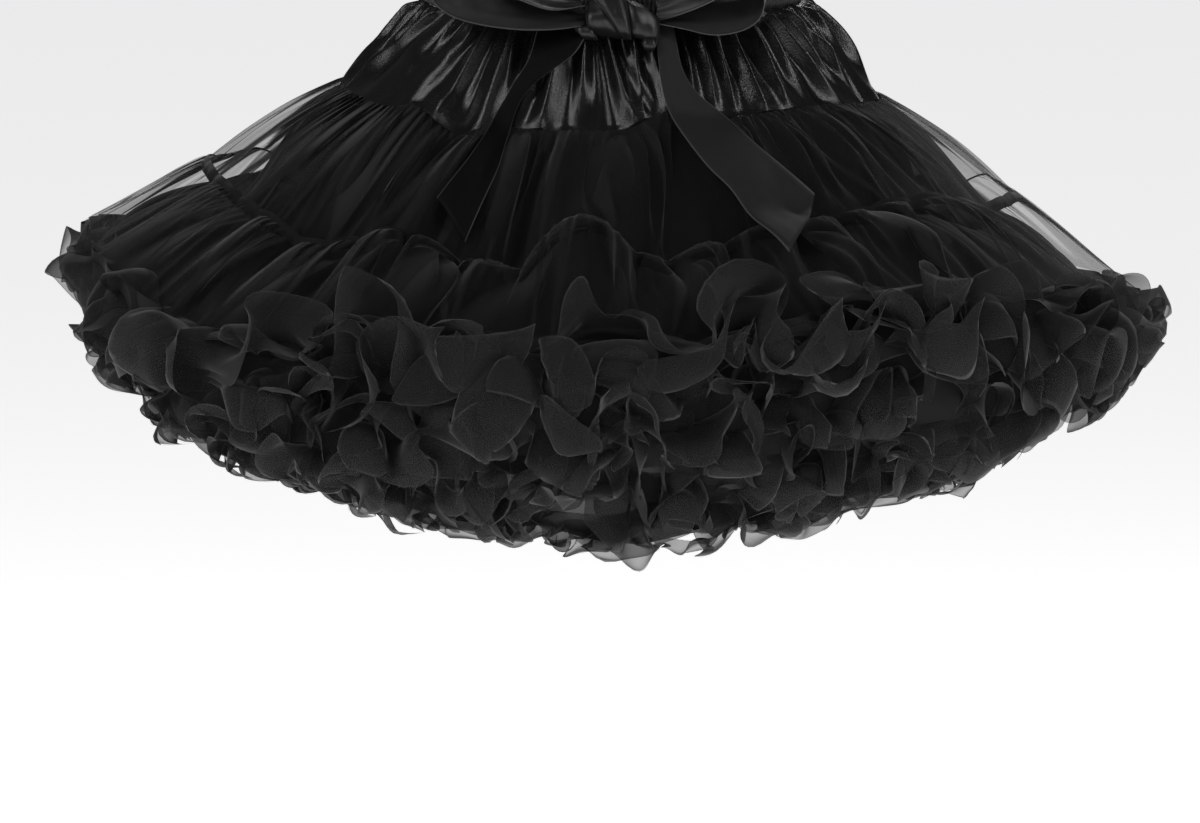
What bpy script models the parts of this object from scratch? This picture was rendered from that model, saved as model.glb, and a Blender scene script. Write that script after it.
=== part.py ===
"""Tiered net petticoat skirt with a gathered satin yoke and a ribbon bow, filled out as it is when worn.

The skirt hangs from its waistband. The origin is the middle of the waistband, +Z is up, -Y is the
front and +X is the right-hand side as the skirt is seen from the front. Sizes are in millimetres until
a mesh is made. Angles run round the skirt from the front, positive towards +X.
"""

import math
from collections import namedtuple

import bmesh
import bpy
import numpy as np

MM = 0.001
COLUMNS = 112  # points round every ring of the outer skirt
UNDER_COLUMNS = 56  # points round every ring of the under skirt
SEAM_GAP = 0.3
BAND_WALL = 2.0
SATIN_WALL = 1.2
NET_WALL = 1.2
RIBBON_WALL = 1.0
LEFT_SIDE_SEAM = -80.0
RIGHT_SIDE_SEAM = 68.0

# A ring is an edge or seam of the cloth, seen from above as an ellipse. The eight drops are how far
# it hangs below the waist line. Slope is how steeply the cloth runs down through it. Waves and
# depth are its gathers, and lift is how far their crests rise.
Ring = namedtuple(
    "Ring",
    "half_width half_depth left front_left front front_right right back_right back back_left "
    "slope waves depth lift",
)
RINGS = {
    "waist_top": Ring(140, 108, -18, -18, -18, -18, -18, -18, -18, -18, 90, 24, 1.3, 0),
    "waist_base": Ring(140, 108, 18, 18, 18, 18, 18, 18, 18, 18, 65, 24, 1.6, 0),
    "yoke_hem": Ring(203, 165, 79, 90, 96, 84, 92, 90, 92, 88, 48, 24, 2.6, 0),
    "tier_seam": Ring(306, 260, 140, 172, 175, 147, 167, 180, 178, 168, 40, 26, 3.0, 0),
    "ruffle_seam": Ring(398, 352, 188, 238, 227, 208, 240, 240, 232, 218, 55, 26, 4.0, 0),
    "upper_ruffle_edge": Ring(419, 385, 245, 298, 290, 272, 286, 296, 292, 282, 70, 26, 11, 7),
    "hem_ruffle_edge": Ring(396, 368, 278, 328, 331, 308, 302, 312, 326, 308, 100, 26, 11, 6),
    "under_seam": Ring(242, 212, 192, 206, 216, 200, 210, 210, 214, 206, 68, 12, 3.0, 0),
    "under_ruffle_seam": Ring(320, 288, 280, 304, 318, 298, 302, 302, 312, 302, 78, 12, 4.0, 0),
    "under_upper_edge": Ring(355, 328, 320, 346, 366, 342, 340, 348, 360, 350, 90, 12, 13, 7),
    "under_hem_edge": Ring(298, 272, 358, 370, 406, 373, 372, 378, 392, 380, 110, 12, 12, 6),
}

# Gathers are uneven: these slow swells round the skirt crowd them together and deepen them in places.
Swell = namedtuple("Swell", "share turns shift")
SPACING_SWELLS = (Swell(0.5, 3, 1.0), Swell(0.3, 7, 0.0))
DEPTH_SWELLS = (Swell(0.25, 2, 0.7), Swell(0.2, 5, 1.0))

# Places where a seam or an edge hangs lower (dip above 0) or stands further out (reach above 0)
# than its ring.
Swing = namedtuple("Swing", "ring angle dip reach half_angle")
SWINGS = (
    Swing("yoke_hem", -47, -7, 0, 6),
    Swing("yoke_hem", -34, 11, 0, 7),
    Swing("yoke_hem", 11, -11, 0, 6),
    Swing("yoke_hem", 150, 8, 0, 8),
    Swing("yoke_hem", -160, -7, 0, 7),
    Swing("tier_seam", -48, 8, 0, 7),
    Swing("tier_seam", -31, -13, 0, 7),
    Swing("tier_seam", -15, 12, 0, 7),
    Swing("tier_seam", -4, -22, 4, 7),
    Swing("tier_seam", 8, 8, 0, 6),
    Swing("tier_seam", 66, 9, 0, 8),
    Swing("tier_seam", 112, -10, 0, 7),
    Swing("tier_seam", 146, 11, 0, 8),
    Swing("tier_seam", 176, -14, 3, 8),
    Swing("tier_seam", -150, 12, 0, 8),
    Swing("tier_seam", -118, -9, 0, 7),
    Swing("upper_ruffle_edge", -85, 0, -3, 6),
    Swing("upper_ruffle_edge", -30, 4, 9, 6),
    Swing("upper_ruffle_edge", -3, 10, 7, 5),
    Swing("upper_ruffle_edge", 9, 14, 10, 6),
    Swing("upper_ruffle_edge", 26, 0, 7, 5),
    Swing("upper_ruffle_edge", 41, -8, 9, 6),
    Swing("upper_ruffle_edge", 88, -10, 2, 6),
    Swing("upper_ruffle_edge", 128, 4, 8, 7),
    Swing("upper_ruffle_edge", 171, 8, 9, 7),
    Swing("upper_ruffle_edge", -140, -5, 8, 7),
    Swing("hem_ruffle_edge", -60, 6, 4, 7),
    Swing("hem_ruffle_edge", 55, 5, 4, 7),
    Swing("under_upper_edge", -40, 6, 4, 9),
    Swing("under_upper_edge", 60, 6, 4, 9),
)

# A wall is the cloth between two rings. Puff is how far it bellies out from a straight line between
# them, and belly is under 1 where that is nearest the top. Folds and fold_depth are its own gathers
# between the seams. Spread is above 1 where the waves of the lower edge die out quickly towards the
# top. Set_out moves the top edge off the seam, for two walls sewn into one seam. Gathered is 0
# where the top edge runs smooth behind the seam's gathers.
Wall = namedtuple(
    "Wall", "top bottom rows puff belly folds fold_depth spread set_out gathered thickness columns"
)
SHARED_SEAM = (NET_WALL + SEAM_GAP) / 2
BEHIND_GATHERS = -4.9
WALLS = {
    "waistband": Wall("waist_top", "waist_base", 2, 2, 1.0, 24, 0.6, 1.0, 0, 1, BAND_WALL, COLUMNS),
    "yoke": Wall("waist_base", "yoke_hem", 5, 11, 0.5, 24, 4.0, 1.0, 0, 1, SATIN_WALL, COLUMNS),
    "outer_tier_1": Wall("yoke_hem", "tier_seam", 4, 5, 0.9, 24, 4.5, 1.0, 0, 1, NET_WALL, COLUMNS),
    "outer_tier_2": Wall("tier_seam", "ruffle_seam", 5, 7, 0.8, 26, 5.5, 1.0, 0, 1, NET_WALL, COLUMNS),
    "outer_ruffle_upper": Wall(
        "ruffle_seam", "upper_ruffle_edge", 4, 17, 0.8, 26, 3.0, 1.2, SHARED_SEAM, 1, NET_WALL, COLUMNS
    ),
    "outer_ruffle_hem": Wall(
        "ruffle_seam", "hem_ruffle_edge", 4, 12, 1.1, 26, 2.0, 1.2, -SHARED_SEAM, 1, NET_WALL, COLUMNS
    ),
    "under_tier_1": Wall(
        "yoke_hem", "under_seam", 3, 4, 1.0, 12, 3.0, 1.0, BEHIND_GATHERS, 0, NET_WALL, UNDER_COLUMNS
    ),
    "under_tier_2": Wall(
        "under_seam", "under_ruffle_seam", 3, 8, 1.0, 12, 4.0, 1.0, 0, 1, NET_WALL, UNDER_COLUMNS
    ),
    "under_ruffle_upper": Wall(
        "under_ruffle_seam", "under_upper_edge", 4, 14, 0.9, 12, 3.0, 1.2, SHARED_SEAM, 1,
        NET_WALL, UNDER_COLUMNS,
    ),
    "under_ruffle_hem": Wall(
        "under_ruffle_seam", "under_hem_edge", 4, 15, 1.1, 12, 2.0, 1.2, -SHARED_SEAM, 1,
        NET_WALL, UNDER_COLUMNS,
    ),
}

# The bow's loops, from the knot out along the lower limb and back along the upper one. X, z and
# depth, which is the distance in front of the skirt's middle, place the ribbon's centre line. Lean
# is how far its front edge drops, in degrees.
Limb = namedtuple("Limb", "x z depth lean width")
LOOPS = {
    "bow_loop_left": (
        Limb(-20.3, -17, 125, 20, 22),
        Limb(-40, -17.5, 130, 18, 33),
        Limb(-66, -16.5, 132, 17, 39),
        Limb(-94, -13, 131, 17, 39),
        Limb(-117, -7, 127, 17, 39),
        Limb(-131, 2, 124, 19, 39),
        Limb(-135, 12, 122, 23, 39),
        Limb(-124, 20, 123, 28, 39),
        Limb(-101, 19, 126, 33, 39),
        Limb(-74, 13, 129, 35, 38),
        Limb(-46, 5, 129, 34, 31),
        Limb(-20.3, -3, 125, 30, 20),
    ),
    "bow_loop_right": (
        Limb(33.3, -16, 125, 20, 20),
        Limb(53, -18, 130, 17, 33),
        Limb(76, -20, 131, 17, 39),
        Limb(97, -15, 129, 17, 39),
        Limb(110, -6, 125, 18, 39),
        Limb(114, 6, 121, 22, 39),
        Limb(108, 17, 122, 28, 39),
        Limb(90, 18, 126, 33, 39),
        Limb(68, 11, 129, 35, 37),
        Limb(48, 2, 128, 33, 30),
        Limb(33.3, -4, 125, 30, 20),
    ),
}

# The tails lie on the skirt's gathers. Down is 0 to 1 on the yoke, 1 to 2 on the first tier and 2
# to 3 on the second. Lift is how far an edge stands off the gathers, and sink is how far the tail
# settles between the deepest ones.
TailRow = namedtuple("TailRow", "left_down left_angle left_lift right_down right_angle right_lift")
TAIL_SINK = {"tail_left": 4.5, "tail_right": 3.4}
TAILS = {
    "tail_left": (
        TailRow(0.31, -17.8, 0, 0.40, -5.6, 0),
        TailRow(0.38, -19.4, 1, 0.44, -9.4, 0),
        TailRow(0.46, -20.4, 3, 0.48, -12.6, 0),
        TailRow(0.66, -23.2, 7, 0.65, -17.8, 0),
        TailRow(0.82, -24.8, 8, 0.82, -20.0, 0),
        TailRow(1.09, -26.4, 6, 1.08, -20.6, 0),
        TailRow(1.33, -26.8, 3, 1.32, -20.2, 0),
        TailRow(1.53, -27.4, 1, 1.56, -20.8, 0),
        TailRow(1.71, -28.0, 0, 1.91, -21.5, 0),
    ),
    "tail_right": (
        TailRow(0.34, 13.0, 0, 0.34, 18.6, 4),
        TailRow(0.50, 11.6, 0, 0.50, 17.6, 5),
        TailRow(0.70, 11.0, 0, 0.67, 18.0, 5),
        TailRow(0.93, 11.4, 0, 0.83, 20.6, 3),
        TailRow(1.12, 12.6, 0, 0.97, 24.0, 1),
        TailRow(1.36, 15.0, 0, 1.31, 26.8, 0),
        TailRow(1.75, 19.4, 0, 1.64, 29.4, 0),
        TailRow(2.28, 22.0, 0, 1.84, 31.6, 0),
    ),
}
TAIL_WALLS = ("yoke", "outer_tier_1", "outer_tier_2")
CREST = 1.45  # the deepest gather beside the average one
FOLD_TURN = 0.02  # how far a wall's own folds are turned from its seam's gathers, in radians
RIBBON_ACROSS = 4  # points across a ribbon
SHARP_ANGLE = 60.0  # edges of the cloth that turn more than this are shaded as sharp
KNOT_BEVELS = 3  # faces round each rounded edge of the knot

# The knot leans with the yoke below it, its foot further out than its head.
Knot = namedtuple("Knot", "x z depth width height thickness rounding lean")
KNOT = Knot(6.5, -13, 135, 53, 30, 22, 8, 30)

Finish = namedtuple("Finish", "colour roughness")
SATIN = Finish((0.020, 0.019, 0.018), 0.32)
NET = Finish((0.012, 0.012, 0.013), 0.85)
RIBBON = Finish((0.030, 0.030, 0.032), 0.48)


def clear_scene():
    for thing in list(bpy.data.objects):
        bpy.data.objects.remove(thing, do_unlink=True)


def unit(vectors):
    """Each vector at length 1."""
    return vectors / np.linalg.norm(vectors, axis=-1, keepdims=True)


def from_front(angle):
    """The flat direction that points out of the skirt at an angle."""
    return np.stack([np.sin(angle), -np.cos(angle), np.zeros_like(angle)], -1)


def angle_between(a, b):
    """The signed turn from b to a, within half a turn."""
    return (a - b + math.pi) % (2 * math.pi) - math.pi


def drop_of(ring, angle):
    """How far the ring hangs below the waist line: a smooth curve through its eight drops."""
    drops = np.array([ring.front, ring.front_right, ring.right, ring.back_right,
                      ring.back, ring.back_left, ring.left, ring.front_left], float)
    place = (angle / (2 * math.pi) * 8) % 8
    knot = np.floor(place).astype(int) % 8
    u = place - np.floor(place)
    before, here = drops[(knot - 1) % 8], drops[knot]
    after, beyond = drops[(knot + 1) % 8], drops[(knot + 2) % 8]
    rise = (after - before) / 2
    fall = (beyond - here) / 2
    return (
        here * (2 * u**3 - 3 * u**2 + 1)
        + rise * (u**3 - 2 * u**2 + u)
        + after * (3 * u**2 - 2 * u**3)
        + fall * (u**3 - u**2)
    )


def gathers(count, angle):
    """How far round each gather the cloth is, and how deep that gather is beside the others."""
    phase = count * angle
    size = np.ones_like(angle)
    for swell in SPACING_SWELLS:
        phase = phase + swell.share * np.sin(swell.turns * angle + swell.shift * count)
    for swell in DEPTH_SWELLS:
        size = size + swell.share * np.sin(swell.turns * angle + swell.shift * count)
    return phase, size


def ring_points(name, angle):
    """The ring without its gathers, and the gathers' part that is added to it."""
    ring = RINGS[name]
    base = from_front(angle) * [ring.half_width, ring.half_depth, 1]
    base[..., 2] = -drop_of(ring, angle)
    for swing in SWINGS:
        if swing.ring == name:
            turn = angle_between(angle, math.radians(swing.angle))
            share = np.exp(-((turn / math.radians(swing.half_angle)) ** 2))
            base[..., 2] -= swing.dip * share
            base += from_front(angle) * (swing.reach * share)[..., None]
    phase, size = gathers(ring.waves, angle)
    wave = from_front(angle) * (ring.depth * size * np.sin(phase))[..., None]
    wave[..., 2] += ring.lift * size * np.cos(phase)
    return base, wave


def ring_facing(name, angle):
    """The direction square to the cloth where it passes through the ring."""
    step = 0.01
    after = sum(ring_points(name, angle + step))
    before = sum(ring_points(name, angle - step))
    slope = math.radians(RINGS[name].slope)
    run = from_front(angle) * math.cos(slope)
    run[..., 2] = -math.sin(slope)
    return unit(np.cross(run, after - before))


def wall_edges(wall, angle):
    """The wall's top and bottom edges, the waves in each, and the way the cloth between them faces."""
    top, top_wave = ring_points(wall.top, angle)
    bottom, bottom_wave = ring_points(wall.bottom, angle)
    top = top + ring_facing(wall.top, angle) * wall.set_out
    sideways = np.cross([0.0, 0.0, 1.0], from_front(angle))
    facing = unit(np.cross(bottom - top, sideways))
    return top, top_wave, bottom, bottom_wave, facing


def cloth_grid(wall, angle):
    """The middle of the wall's cloth, as rows of points from its top edge to its bottom edge."""
    top, top_wave, bottom, bottom_wave, facing = wall_edges(wall, angle)
    phase, size = gathers(wall.folds, angle + FOLD_TURN)
    rows = []
    for down in np.linspace(0, 1, wall.rows):
        spread = down**wall.spread
        waves = top_wave * (wall.gathered * (1 - spread)) + bottom_wave * spread
        point = top + (bottom - top) * down + waves
        belly = wall.puff * math.sin(math.pi * down**wall.belly)
        fold = wall.fold_depth * size * np.sin(phase) * math.sin(math.pi * down)
        rows.append(point + facing * (belly + fold)[..., None])
    return np.array(rows)


def wall_grid(name):
    """The wall's middle points and the way its cloth faces, half a seam gap short at its sewn edges."""
    wall = WALLS[name]
    angle = np.arange(wall.columns) * (2 * math.pi / wall.columns)
    points = cloth_grid(wall, angle)
    across = np.roll(points, -1, axis=1) - np.roll(points, 1, axis=1)
    facing = unit(np.cross(np.gradient(points, axis=0), across))
    for row, ring in ((0, wall.top), (-1, wall.bottom)):
        facing[row] = ring_facing(ring, angle)
        slope = math.radians(RINGS[ring].slope)
        run = from_front(angle) * math.cos(slope)
        run[..., 2] = -math.sin(slope)
        points[row] += run * (SEAM_GAP / 2 if row == 0 else -SEAM_GAP / 2)
    return points, facing


def add_material(thing, finish):
    material = bpy.data.materials.new(thing.name + "_cloth")
    material.use_nodes = True
    shader = material.node_tree.nodes["Principled BSDF"]
    shader.inputs["Base Color"].default_value = (*finish.colour, 1)
    shader.inputs["Roughness"].default_value = finish.roughness
    shader.inputs["Metallic"].default_value = 0.0
    thing.data.materials.append(material)


def add_cloth(name, points, facing, thickness, closed, finish):
    """A closed solid: the grid of points thickened to both sides, joined at its edges."""
    rows, columns = points.shape[:2]
    bm = bmesh.new()
    sides = []
    for side in (0.5, -0.5):
        moved = (points + facing * (side * thickness)) * MM
        sides.append([[bm.verts.new(point) for point in row] for row in moved])
    outer, inner = sides
    spans = columns if closed else columns - 1
    for c in range(spans):
        d = (c + 1) % columns
        for r in range(rows - 1):
            bm.faces.new((outer[r][c], outer[r + 1][c], outer[r + 1][d], outer[r][d]))
            bm.faces.new((inner[r][c], inner[r][d], inner[r + 1][d], inner[r + 1][c]))
        bm.faces.new((outer[0][c], outer[0][d], inner[0][d], inner[0][c]))
        bm.faces.new((outer[-1][c], inner[-1][c], inner[-1][d], outer[-1][d]))
    if not closed:
        for r in range(rows - 1):
            bm.faces.new((outer[r][0], inner[r][0], inner[r + 1][0], outer[r + 1][0]))
            bm.faces.new((outer[r][-1], outer[r + 1][-1], inner[r + 1][-1], inner[r][-1]))
    bmesh.ops.recalc_face_normals(bm, faces=bm.faces)
    mesh = bpy.data.meshes.new(name)
    bm.to_mesh(mesh)
    bm.free()
    mesh.shade_smooth()
    mesh.set_sharp_from_angle(angle=math.radians(SHARP_ANGLE))
    thing = bpy.data.objects.new(name, mesh)
    bpy.context.collection.objects.link(thing)
    add_material(thing, finish)
    return thing


def make_ring_wall(name, finish):
    """A wall that runs all the way round."""
    points, facing = wall_grid(name)
    add_cloth(name, points, facing, WALLS[name].thickness, True, finish)


def make_yoke_panel(name, first_seam, last_seam):
    """One panel of the yoke, between two side seams that fall on columns of the ring."""
    step = 360 / COLUMNS
    chosen = np.arange(round(first_seam / step), round(last_seam / step) + 1) % COLUMNS
    points, facing = (grid[:, chosen] for grid in wall_grid("yoke"))
    for column, neighbour in ((0, 1), (-1, -2)):
        across = unit(points[:, neighbour] - points[:, column])
        points[:, column] += across * SEAM_GAP / 2
    add_cloth(name, points, facing, SATIN_WALL, False, SATIN)


def ribbon_facing(points):
    return unit(np.cross(np.gradient(points, axis=0), np.gradient(points, axis=1)))


def make_loop(name, limbs):
    """A loop of ribbon whose two ends meet the knot."""
    across = np.linspace(-0.5, 0.5, RIBBON_ACROSS)[:, None]
    rows = []
    for limb in limbs:
        lean = math.radians(limb.lean)
        to_front = np.array([0.0, -math.cos(lean), -math.sin(lean)])
        rows.append(np.array([limb.x, -limb.depth, limb.z]) + across * limb.width * to_front)
    points = np.array(rows)
    add_cloth(name, points, ribbon_facing(points), RIBBON_WALL, False, RIBBON)


def on_gathers(down, angle, lift):
    """A point just clear of the crests of the skirt's gathers."""
    wall = WALLS[TAIL_WALLS[int(down)]]
    place = down - int(down)
    turn = np.array([math.radians(angle)])
    top, _, bottom, _, facing = wall_edges(wall, turn)
    belly = wall.puff * math.sin(math.pi * place**wall.belly)
    folds = wall.fold_depth * math.sin(math.pi * place)
    gathers_there = RINGS[wall.top].depth * (1 - place) + RINGS[wall.bottom].depth * place
    clear = (wall.thickness + RIBBON_WALL) / 2 + SEAM_GAP + lift
    crest = CREST * (folds + gathers_there)
    return (top + (bottom - top) * place + facing * (belly + crest + clear))[0]


def make_tail(name, tail_rows):
    """A tail of ribbon that lies over the gathers from the knot to its slanting cut end."""
    across = np.linspace(0, 1, RIBBON_ACROSS)
    rows = []
    for row in tail_rows:
        places = zip(
            row.left_down + (row.right_down - row.left_down) * across,
            row.left_angle + (row.right_angle - row.left_angle) * across,
            row.left_lift + (row.right_lift - row.left_lift) * across - TAIL_SINK[name],
        )
        rows.append([on_gathers(*place) for place in places])
    points = np.array(rows)
    add_cloth(name, points, ribbon_facing(points), RIBBON_WALL, False, RIBBON)


def make_knot():
    """The wrapped middle of the bow, a block with well rounded edges."""
    bm = bmesh.new()
    bmesh.ops.create_cube(bm, size=1)
    bmesh.ops.scale(bm, vec=(KNOT.width * MM, KNOT.thickness * MM, KNOT.height * MM), verts=bm.verts)
    bmesh.ops.bevel(
        bm, geom=bm.edges[:], offset=KNOT.rounding * MM, segments=KNOT_BEVELS, profile=0.5, affect="EDGES",
        clamp_overlap=True,
    )
    mesh = bpy.data.meshes.new("bow_knot")
    bm.to_mesh(mesh)
    bm.free()
    mesh.shade_smooth()
    knot = bpy.data.objects.new("bow_knot", mesh)
    knot.location = (KNOT.x * MM, -KNOT.depth * MM, KNOT.z * MM)
    knot.rotation_euler.x = -math.radians(KNOT.lean)
    bpy.context.collection.objects.link(knot)
    add_material(knot, RIBBON)


def main():
    clear_scene()
    make_ring_wall("waistband", SATIN)
    make_yoke_panel("yoke_front", LEFT_SIDE_SEAM, RIGHT_SIDE_SEAM)
    make_yoke_panel("yoke_back", RIGHT_SIDE_SEAM, LEFT_SIDE_SEAM + 360)
    for name in WALLS:
        if name not in ("waistband", "yoke"):
            make_ring_wall(name, NET)
    make_knot()
    for name, limbs in LOOPS.items():
        make_loop(name, limbs)
    for name, tail_rows in TAILS.items():
        make_tail(name, tail_rows)


if __name__ == "__main__":
    main()
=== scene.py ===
"""Black net petticoat skirt with a satin yoke and a ribbon bow, dressed over its solid model."""

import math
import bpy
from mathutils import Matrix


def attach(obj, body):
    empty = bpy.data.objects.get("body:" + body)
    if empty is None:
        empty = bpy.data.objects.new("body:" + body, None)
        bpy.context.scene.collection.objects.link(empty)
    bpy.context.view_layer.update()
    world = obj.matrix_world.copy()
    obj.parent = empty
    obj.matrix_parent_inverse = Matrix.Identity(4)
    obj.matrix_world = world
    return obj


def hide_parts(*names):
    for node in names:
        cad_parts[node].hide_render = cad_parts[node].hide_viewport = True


bl_info = {
    "name": "Net Petticoat Skirt",
    "version": (1, 0, 0),
    "blender": (4, 5, 0),
    "location": "3D View > Sidebar > Petticoat",
    "description": "Makes the cloth of a tiered net petticoat skirt, piece by piece",
    "category": "Object",
}

from collections import namedtuple

import bpy
import numpy as np
from mathutils import Vector

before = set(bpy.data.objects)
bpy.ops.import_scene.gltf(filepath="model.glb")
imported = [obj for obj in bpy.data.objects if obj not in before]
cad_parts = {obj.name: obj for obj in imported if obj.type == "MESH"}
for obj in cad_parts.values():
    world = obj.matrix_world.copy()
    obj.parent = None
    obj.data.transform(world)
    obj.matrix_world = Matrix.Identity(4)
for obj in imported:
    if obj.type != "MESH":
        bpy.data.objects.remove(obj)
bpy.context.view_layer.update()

MM = 0.001
UP = np.array([0.0, 0.0, 1.0])

# ---------------------------------------------------------------------------------------------
# The skirt's form, in millimetres. The waist is at the origin, the front faces -Y, and angles
# run round from the front, positive towards +X.

# A ring is a seam or an edge of the cloth: an ellipse from above, with eight drops below the waist.
Ring = namedtuple(
    "Ring", "half_width half_depth left front_left front front_right right back_right back back_left"
)
RINGS = {
    "waist_top": Ring(140, 108, -18, -18, -18, -18, -18, -18, -18, -18),
    "waist_base": Ring(140, 108, 18, 18, 18, 18, 18, 18, 18, 18),
    "yoke_hem": Ring(203, 165, 79, 90, 96, 84, 92, 90, 92, 88),
    "tier_seam": Ring(306, 260, 140, 172, 175, 147, 167, 180, 178, 168),
    "ruffle_seam": Ring(398, 352, 188, 238, 227, 208, 240, 240, 232, 218),
    "hem_ruffle_edge": Ring(396, 368, 278, 328, 331, 308, 302, 312, 326, 308),
    "under_seam": Ring(242, 212, 192, 206, 216, 200, 210, 210, 214, 206),
    "under_ruffle_seam": Ring(320, 288, 280, 304, 318, 298, 302, 302, 312, 302),
    "under_hem_edge": Ring(298, 272, 358, 370, 406, 373, 372, 378, 392, 380),
}

# Places where a ring hangs lower (dip above 0) or stands further out (reach above 0).
Swing = namedtuple("Swing", "angle dip reach half_angle")
SWINGS = {
    "yoke_hem": (
        Swing(-47, -7, 0, 6), Swing(-34, 11, 0, 7), Swing(11, -11, 0, 6), Swing(150, 8, 0, 8),
        Swing(-160, -7, 0, 7),
    ),
    "tier_seam": (
        Swing(-48, 8, 0, 7), Swing(-31, -13, 0, 7), Swing(-15, 12, 0, 7), Swing(-4, -22, 4, 7),
        Swing(8, 8, 0, 6), Swing(66, 9, 0, 8), Swing(112, -10, 0, 7), Swing(146, 11, 0, 8),
        Swing(176, -14, 3, 8), Swing(-150, 12, 0, 8), Swing(-118, -9, 0, 7),
    ),
}

# A wall is the cloth between two rings. Puff is how far it bellies out, and belly is under 1 where
# that is nearest the top. Folds and gathers are how deep the solid's own folds are at half height
# and its gathers at the two seams.
Wall = namedtuple("Wall", "top bottom puff belly folds top_gathers bottom_gathers")
WALLS = {
    "waistband": Wall("waist_top", "waist_base", 2, 1.0, 0.6, 1.3, 1.6),
    "yoke": Wall("waist_base", "yoke_hem", 11, 0.5, 4.0, 1.6, 2.6),
    "outer_tier_1": Wall("yoke_hem", "tier_seam", 5, 0.9, 4.5, 2.6, 3.0),
    "outer_tier_2": Wall("tier_seam", "ruffle_seam", 7, 0.8, 5.5, 3.0, 4.0),
    "outer_hem": Wall("ruffle_seam", "hem_ruffle_edge", 12, 1.1, 2.0, 4.0, 11.0),
    "under_tier_1": Wall("yoke_hem", "under_seam", 4, 1.0, 3.0, 2.6, 3.0),
    "under_tier_2": Wall("under_seam", "under_ruffle_seam", 8, 1.0, 4.0, 3.0, 4.0),
    "under_hem": Wall("under_ruffle_seam", "under_hem_edge", 15, 1.1, 2.0, 4.0, 12.0),
}


def unit(vectors):
    return vectors / np.linalg.norm(vectors, axis=-1, keepdims=True)


def from_front(angle):
    """The flat direction that points out of the skirt at an angle."""
    return np.stack([np.sin(angle), -np.cos(angle), np.zeros_like(angle)], -1)


def turn_between(a, b):
    """The signed turn from b to a, within half a turn."""
    return (a - b + math.pi) % (2 * math.pi) - math.pi


def smooth_step(low, high, value):
    x = np.clip((value - low) / (high - low), 0, 1)
    return x * x * (3 - 2 * x)


def wander(angle, seed, low, high):
    """An uneven smooth curve round the skirt, about -1 to 1, of low to high swings a turn."""
    random = np.random.default_rng(seed)
    turns = np.arange(low, high + 1)
    share = random.normal(size=turns.size) * 0.75 / math.sqrt(turns.size / 2)
    start = random.uniform(0, 2 * math.pi, turns.size)
    total = np.zeros_like(angle)
    for t, s, a in zip(turns, share, start):
        total = total + s * np.cos(t * angle + a)
    return total


# The seam between the tiers hangs in arcs that meet in points, at these angles round the front.
# Round the back they are as uneven.
FRONT_CUSPS = (-66, -60, -50, -44, -38, -30, -22, -13, 3.5, 8, 16, 26, 33, 39, 47, 57, 66)
BACK_CUSPS = 26
CUSP_SEED = 7
ARC_RISE = 7.0
FULL_ARC = 9.0  # an arc this wide, in degrees, has its full rise


def seam_cusps():
    random = np.random.default_rng(CUSP_SEED)
    step = (360 - FRONT_CUSPS[-1] + FRONT_CUSPS[0]) / BACK_CUSPS
    back = [FRONT_CUSPS[-1] + step * (i + random.uniform(-0.3, 0.3)) for i in range(1, BACK_CUSPS)]
    return np.radians(np.array([*FRONT_CUSPS, *back, FRONT_CUSPS[0] + 360]))


def seam_arcs(angle):
    """How high the seam's arc is at each angle, 0 at its ends, and how far the nearer end is."""
    cusps = seam_cusps()
    turn = (angle - cusps[0]) % (2 * math.pi) + cusps[0]
    cell = np.clip(np.searchsorted(cusps, turn, side="right") - 1, 0, len(cusps) - 2)
    span = cusps[cell + 1] - cusps[cell]
    x = 2 * (turn - cusps[cell]) / span - 1
    size = np.clip(np.degrees(span) / FULL_ARC, 0.5, 1.6)
    return (1 - np.abs(x) ** 2.4) * size, (1 - np.abs(x)) * span / 2


def near_sides(angle, power):
    """1 at the skirt's left and right, falling to 0 at its front and back."""
    return np.sin(angle) ** power


def near_middle(angle, power):
    """1 at the skirt's front and back, falling to 0 at its sides."""
    return np.cos(angle) ** power


def curve_between(before, here, there, beyond, u):
    """A smooth curve from here to there, with the points before and beyond them as its guides."""
    return (
        here * (2 * u**3 - 3 * u**2 + 1)
        + (there - before) / 2 * (u**3 - 2 * u**2 + u)
        + there * (3 * u**2 - 2 * u**3)
        + (beyond - here) / 2 * (u**3 - u**2)
    )


def smoothed(rows, count):
    """Rows of numbers read from a smooth curve through them, at count even places."""
    rows = np.array(rows, float)
    place = np.linspace(0, len(rows) - 1, count)
    knot = np.minimum(place.astype(int), len(rows) - 2)
    before, beyond = rows[np.maximum(knot - 1, 0)], rows[np.minimum(knot + 2, len(rows) - 1)]
    u = (place - knot)[:, None]
    return curve_between(before, rows[knot], rows[knot + 1], beyond, u)


def ring_points(name, angle):
    ring = RINGS[name]
    drops = np.roll(np.array(ring[2:], float), -2)  # the eight drops, from the front towards +X
    place = (angle / (2 * math.pi) * 8) % 8
    knot = np.floor(place).astype(int) % 8
    nearest = [drops[(knot + step) % 8] for step in (-1, 0, 1, 2)]
    points = from_front(angle) * [ring.half_width, ring.half_depth, 1]
    points[..., 2] = -curve_between(*nearest, place - np.floor(place))
    for swing in SWINGS.get(name, ()):
        turn = turn_between(angle, math.radians(swing.angle))
        share = np.exp(-((turn / math.radians(swing.half_angle)) ** 2))
        points[..., 2] -= swing.dip * share
        points += from_front(angle) * (swing.reach * share)[..., None]
    if name == "tier_seam":
        arc, _ = seam_arcs(angle)
        points[..., 2] += ARC_RISE * (arc - 0.6) * (0.15 + 0.85 * near_middle(angle, 2))
    return points


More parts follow.
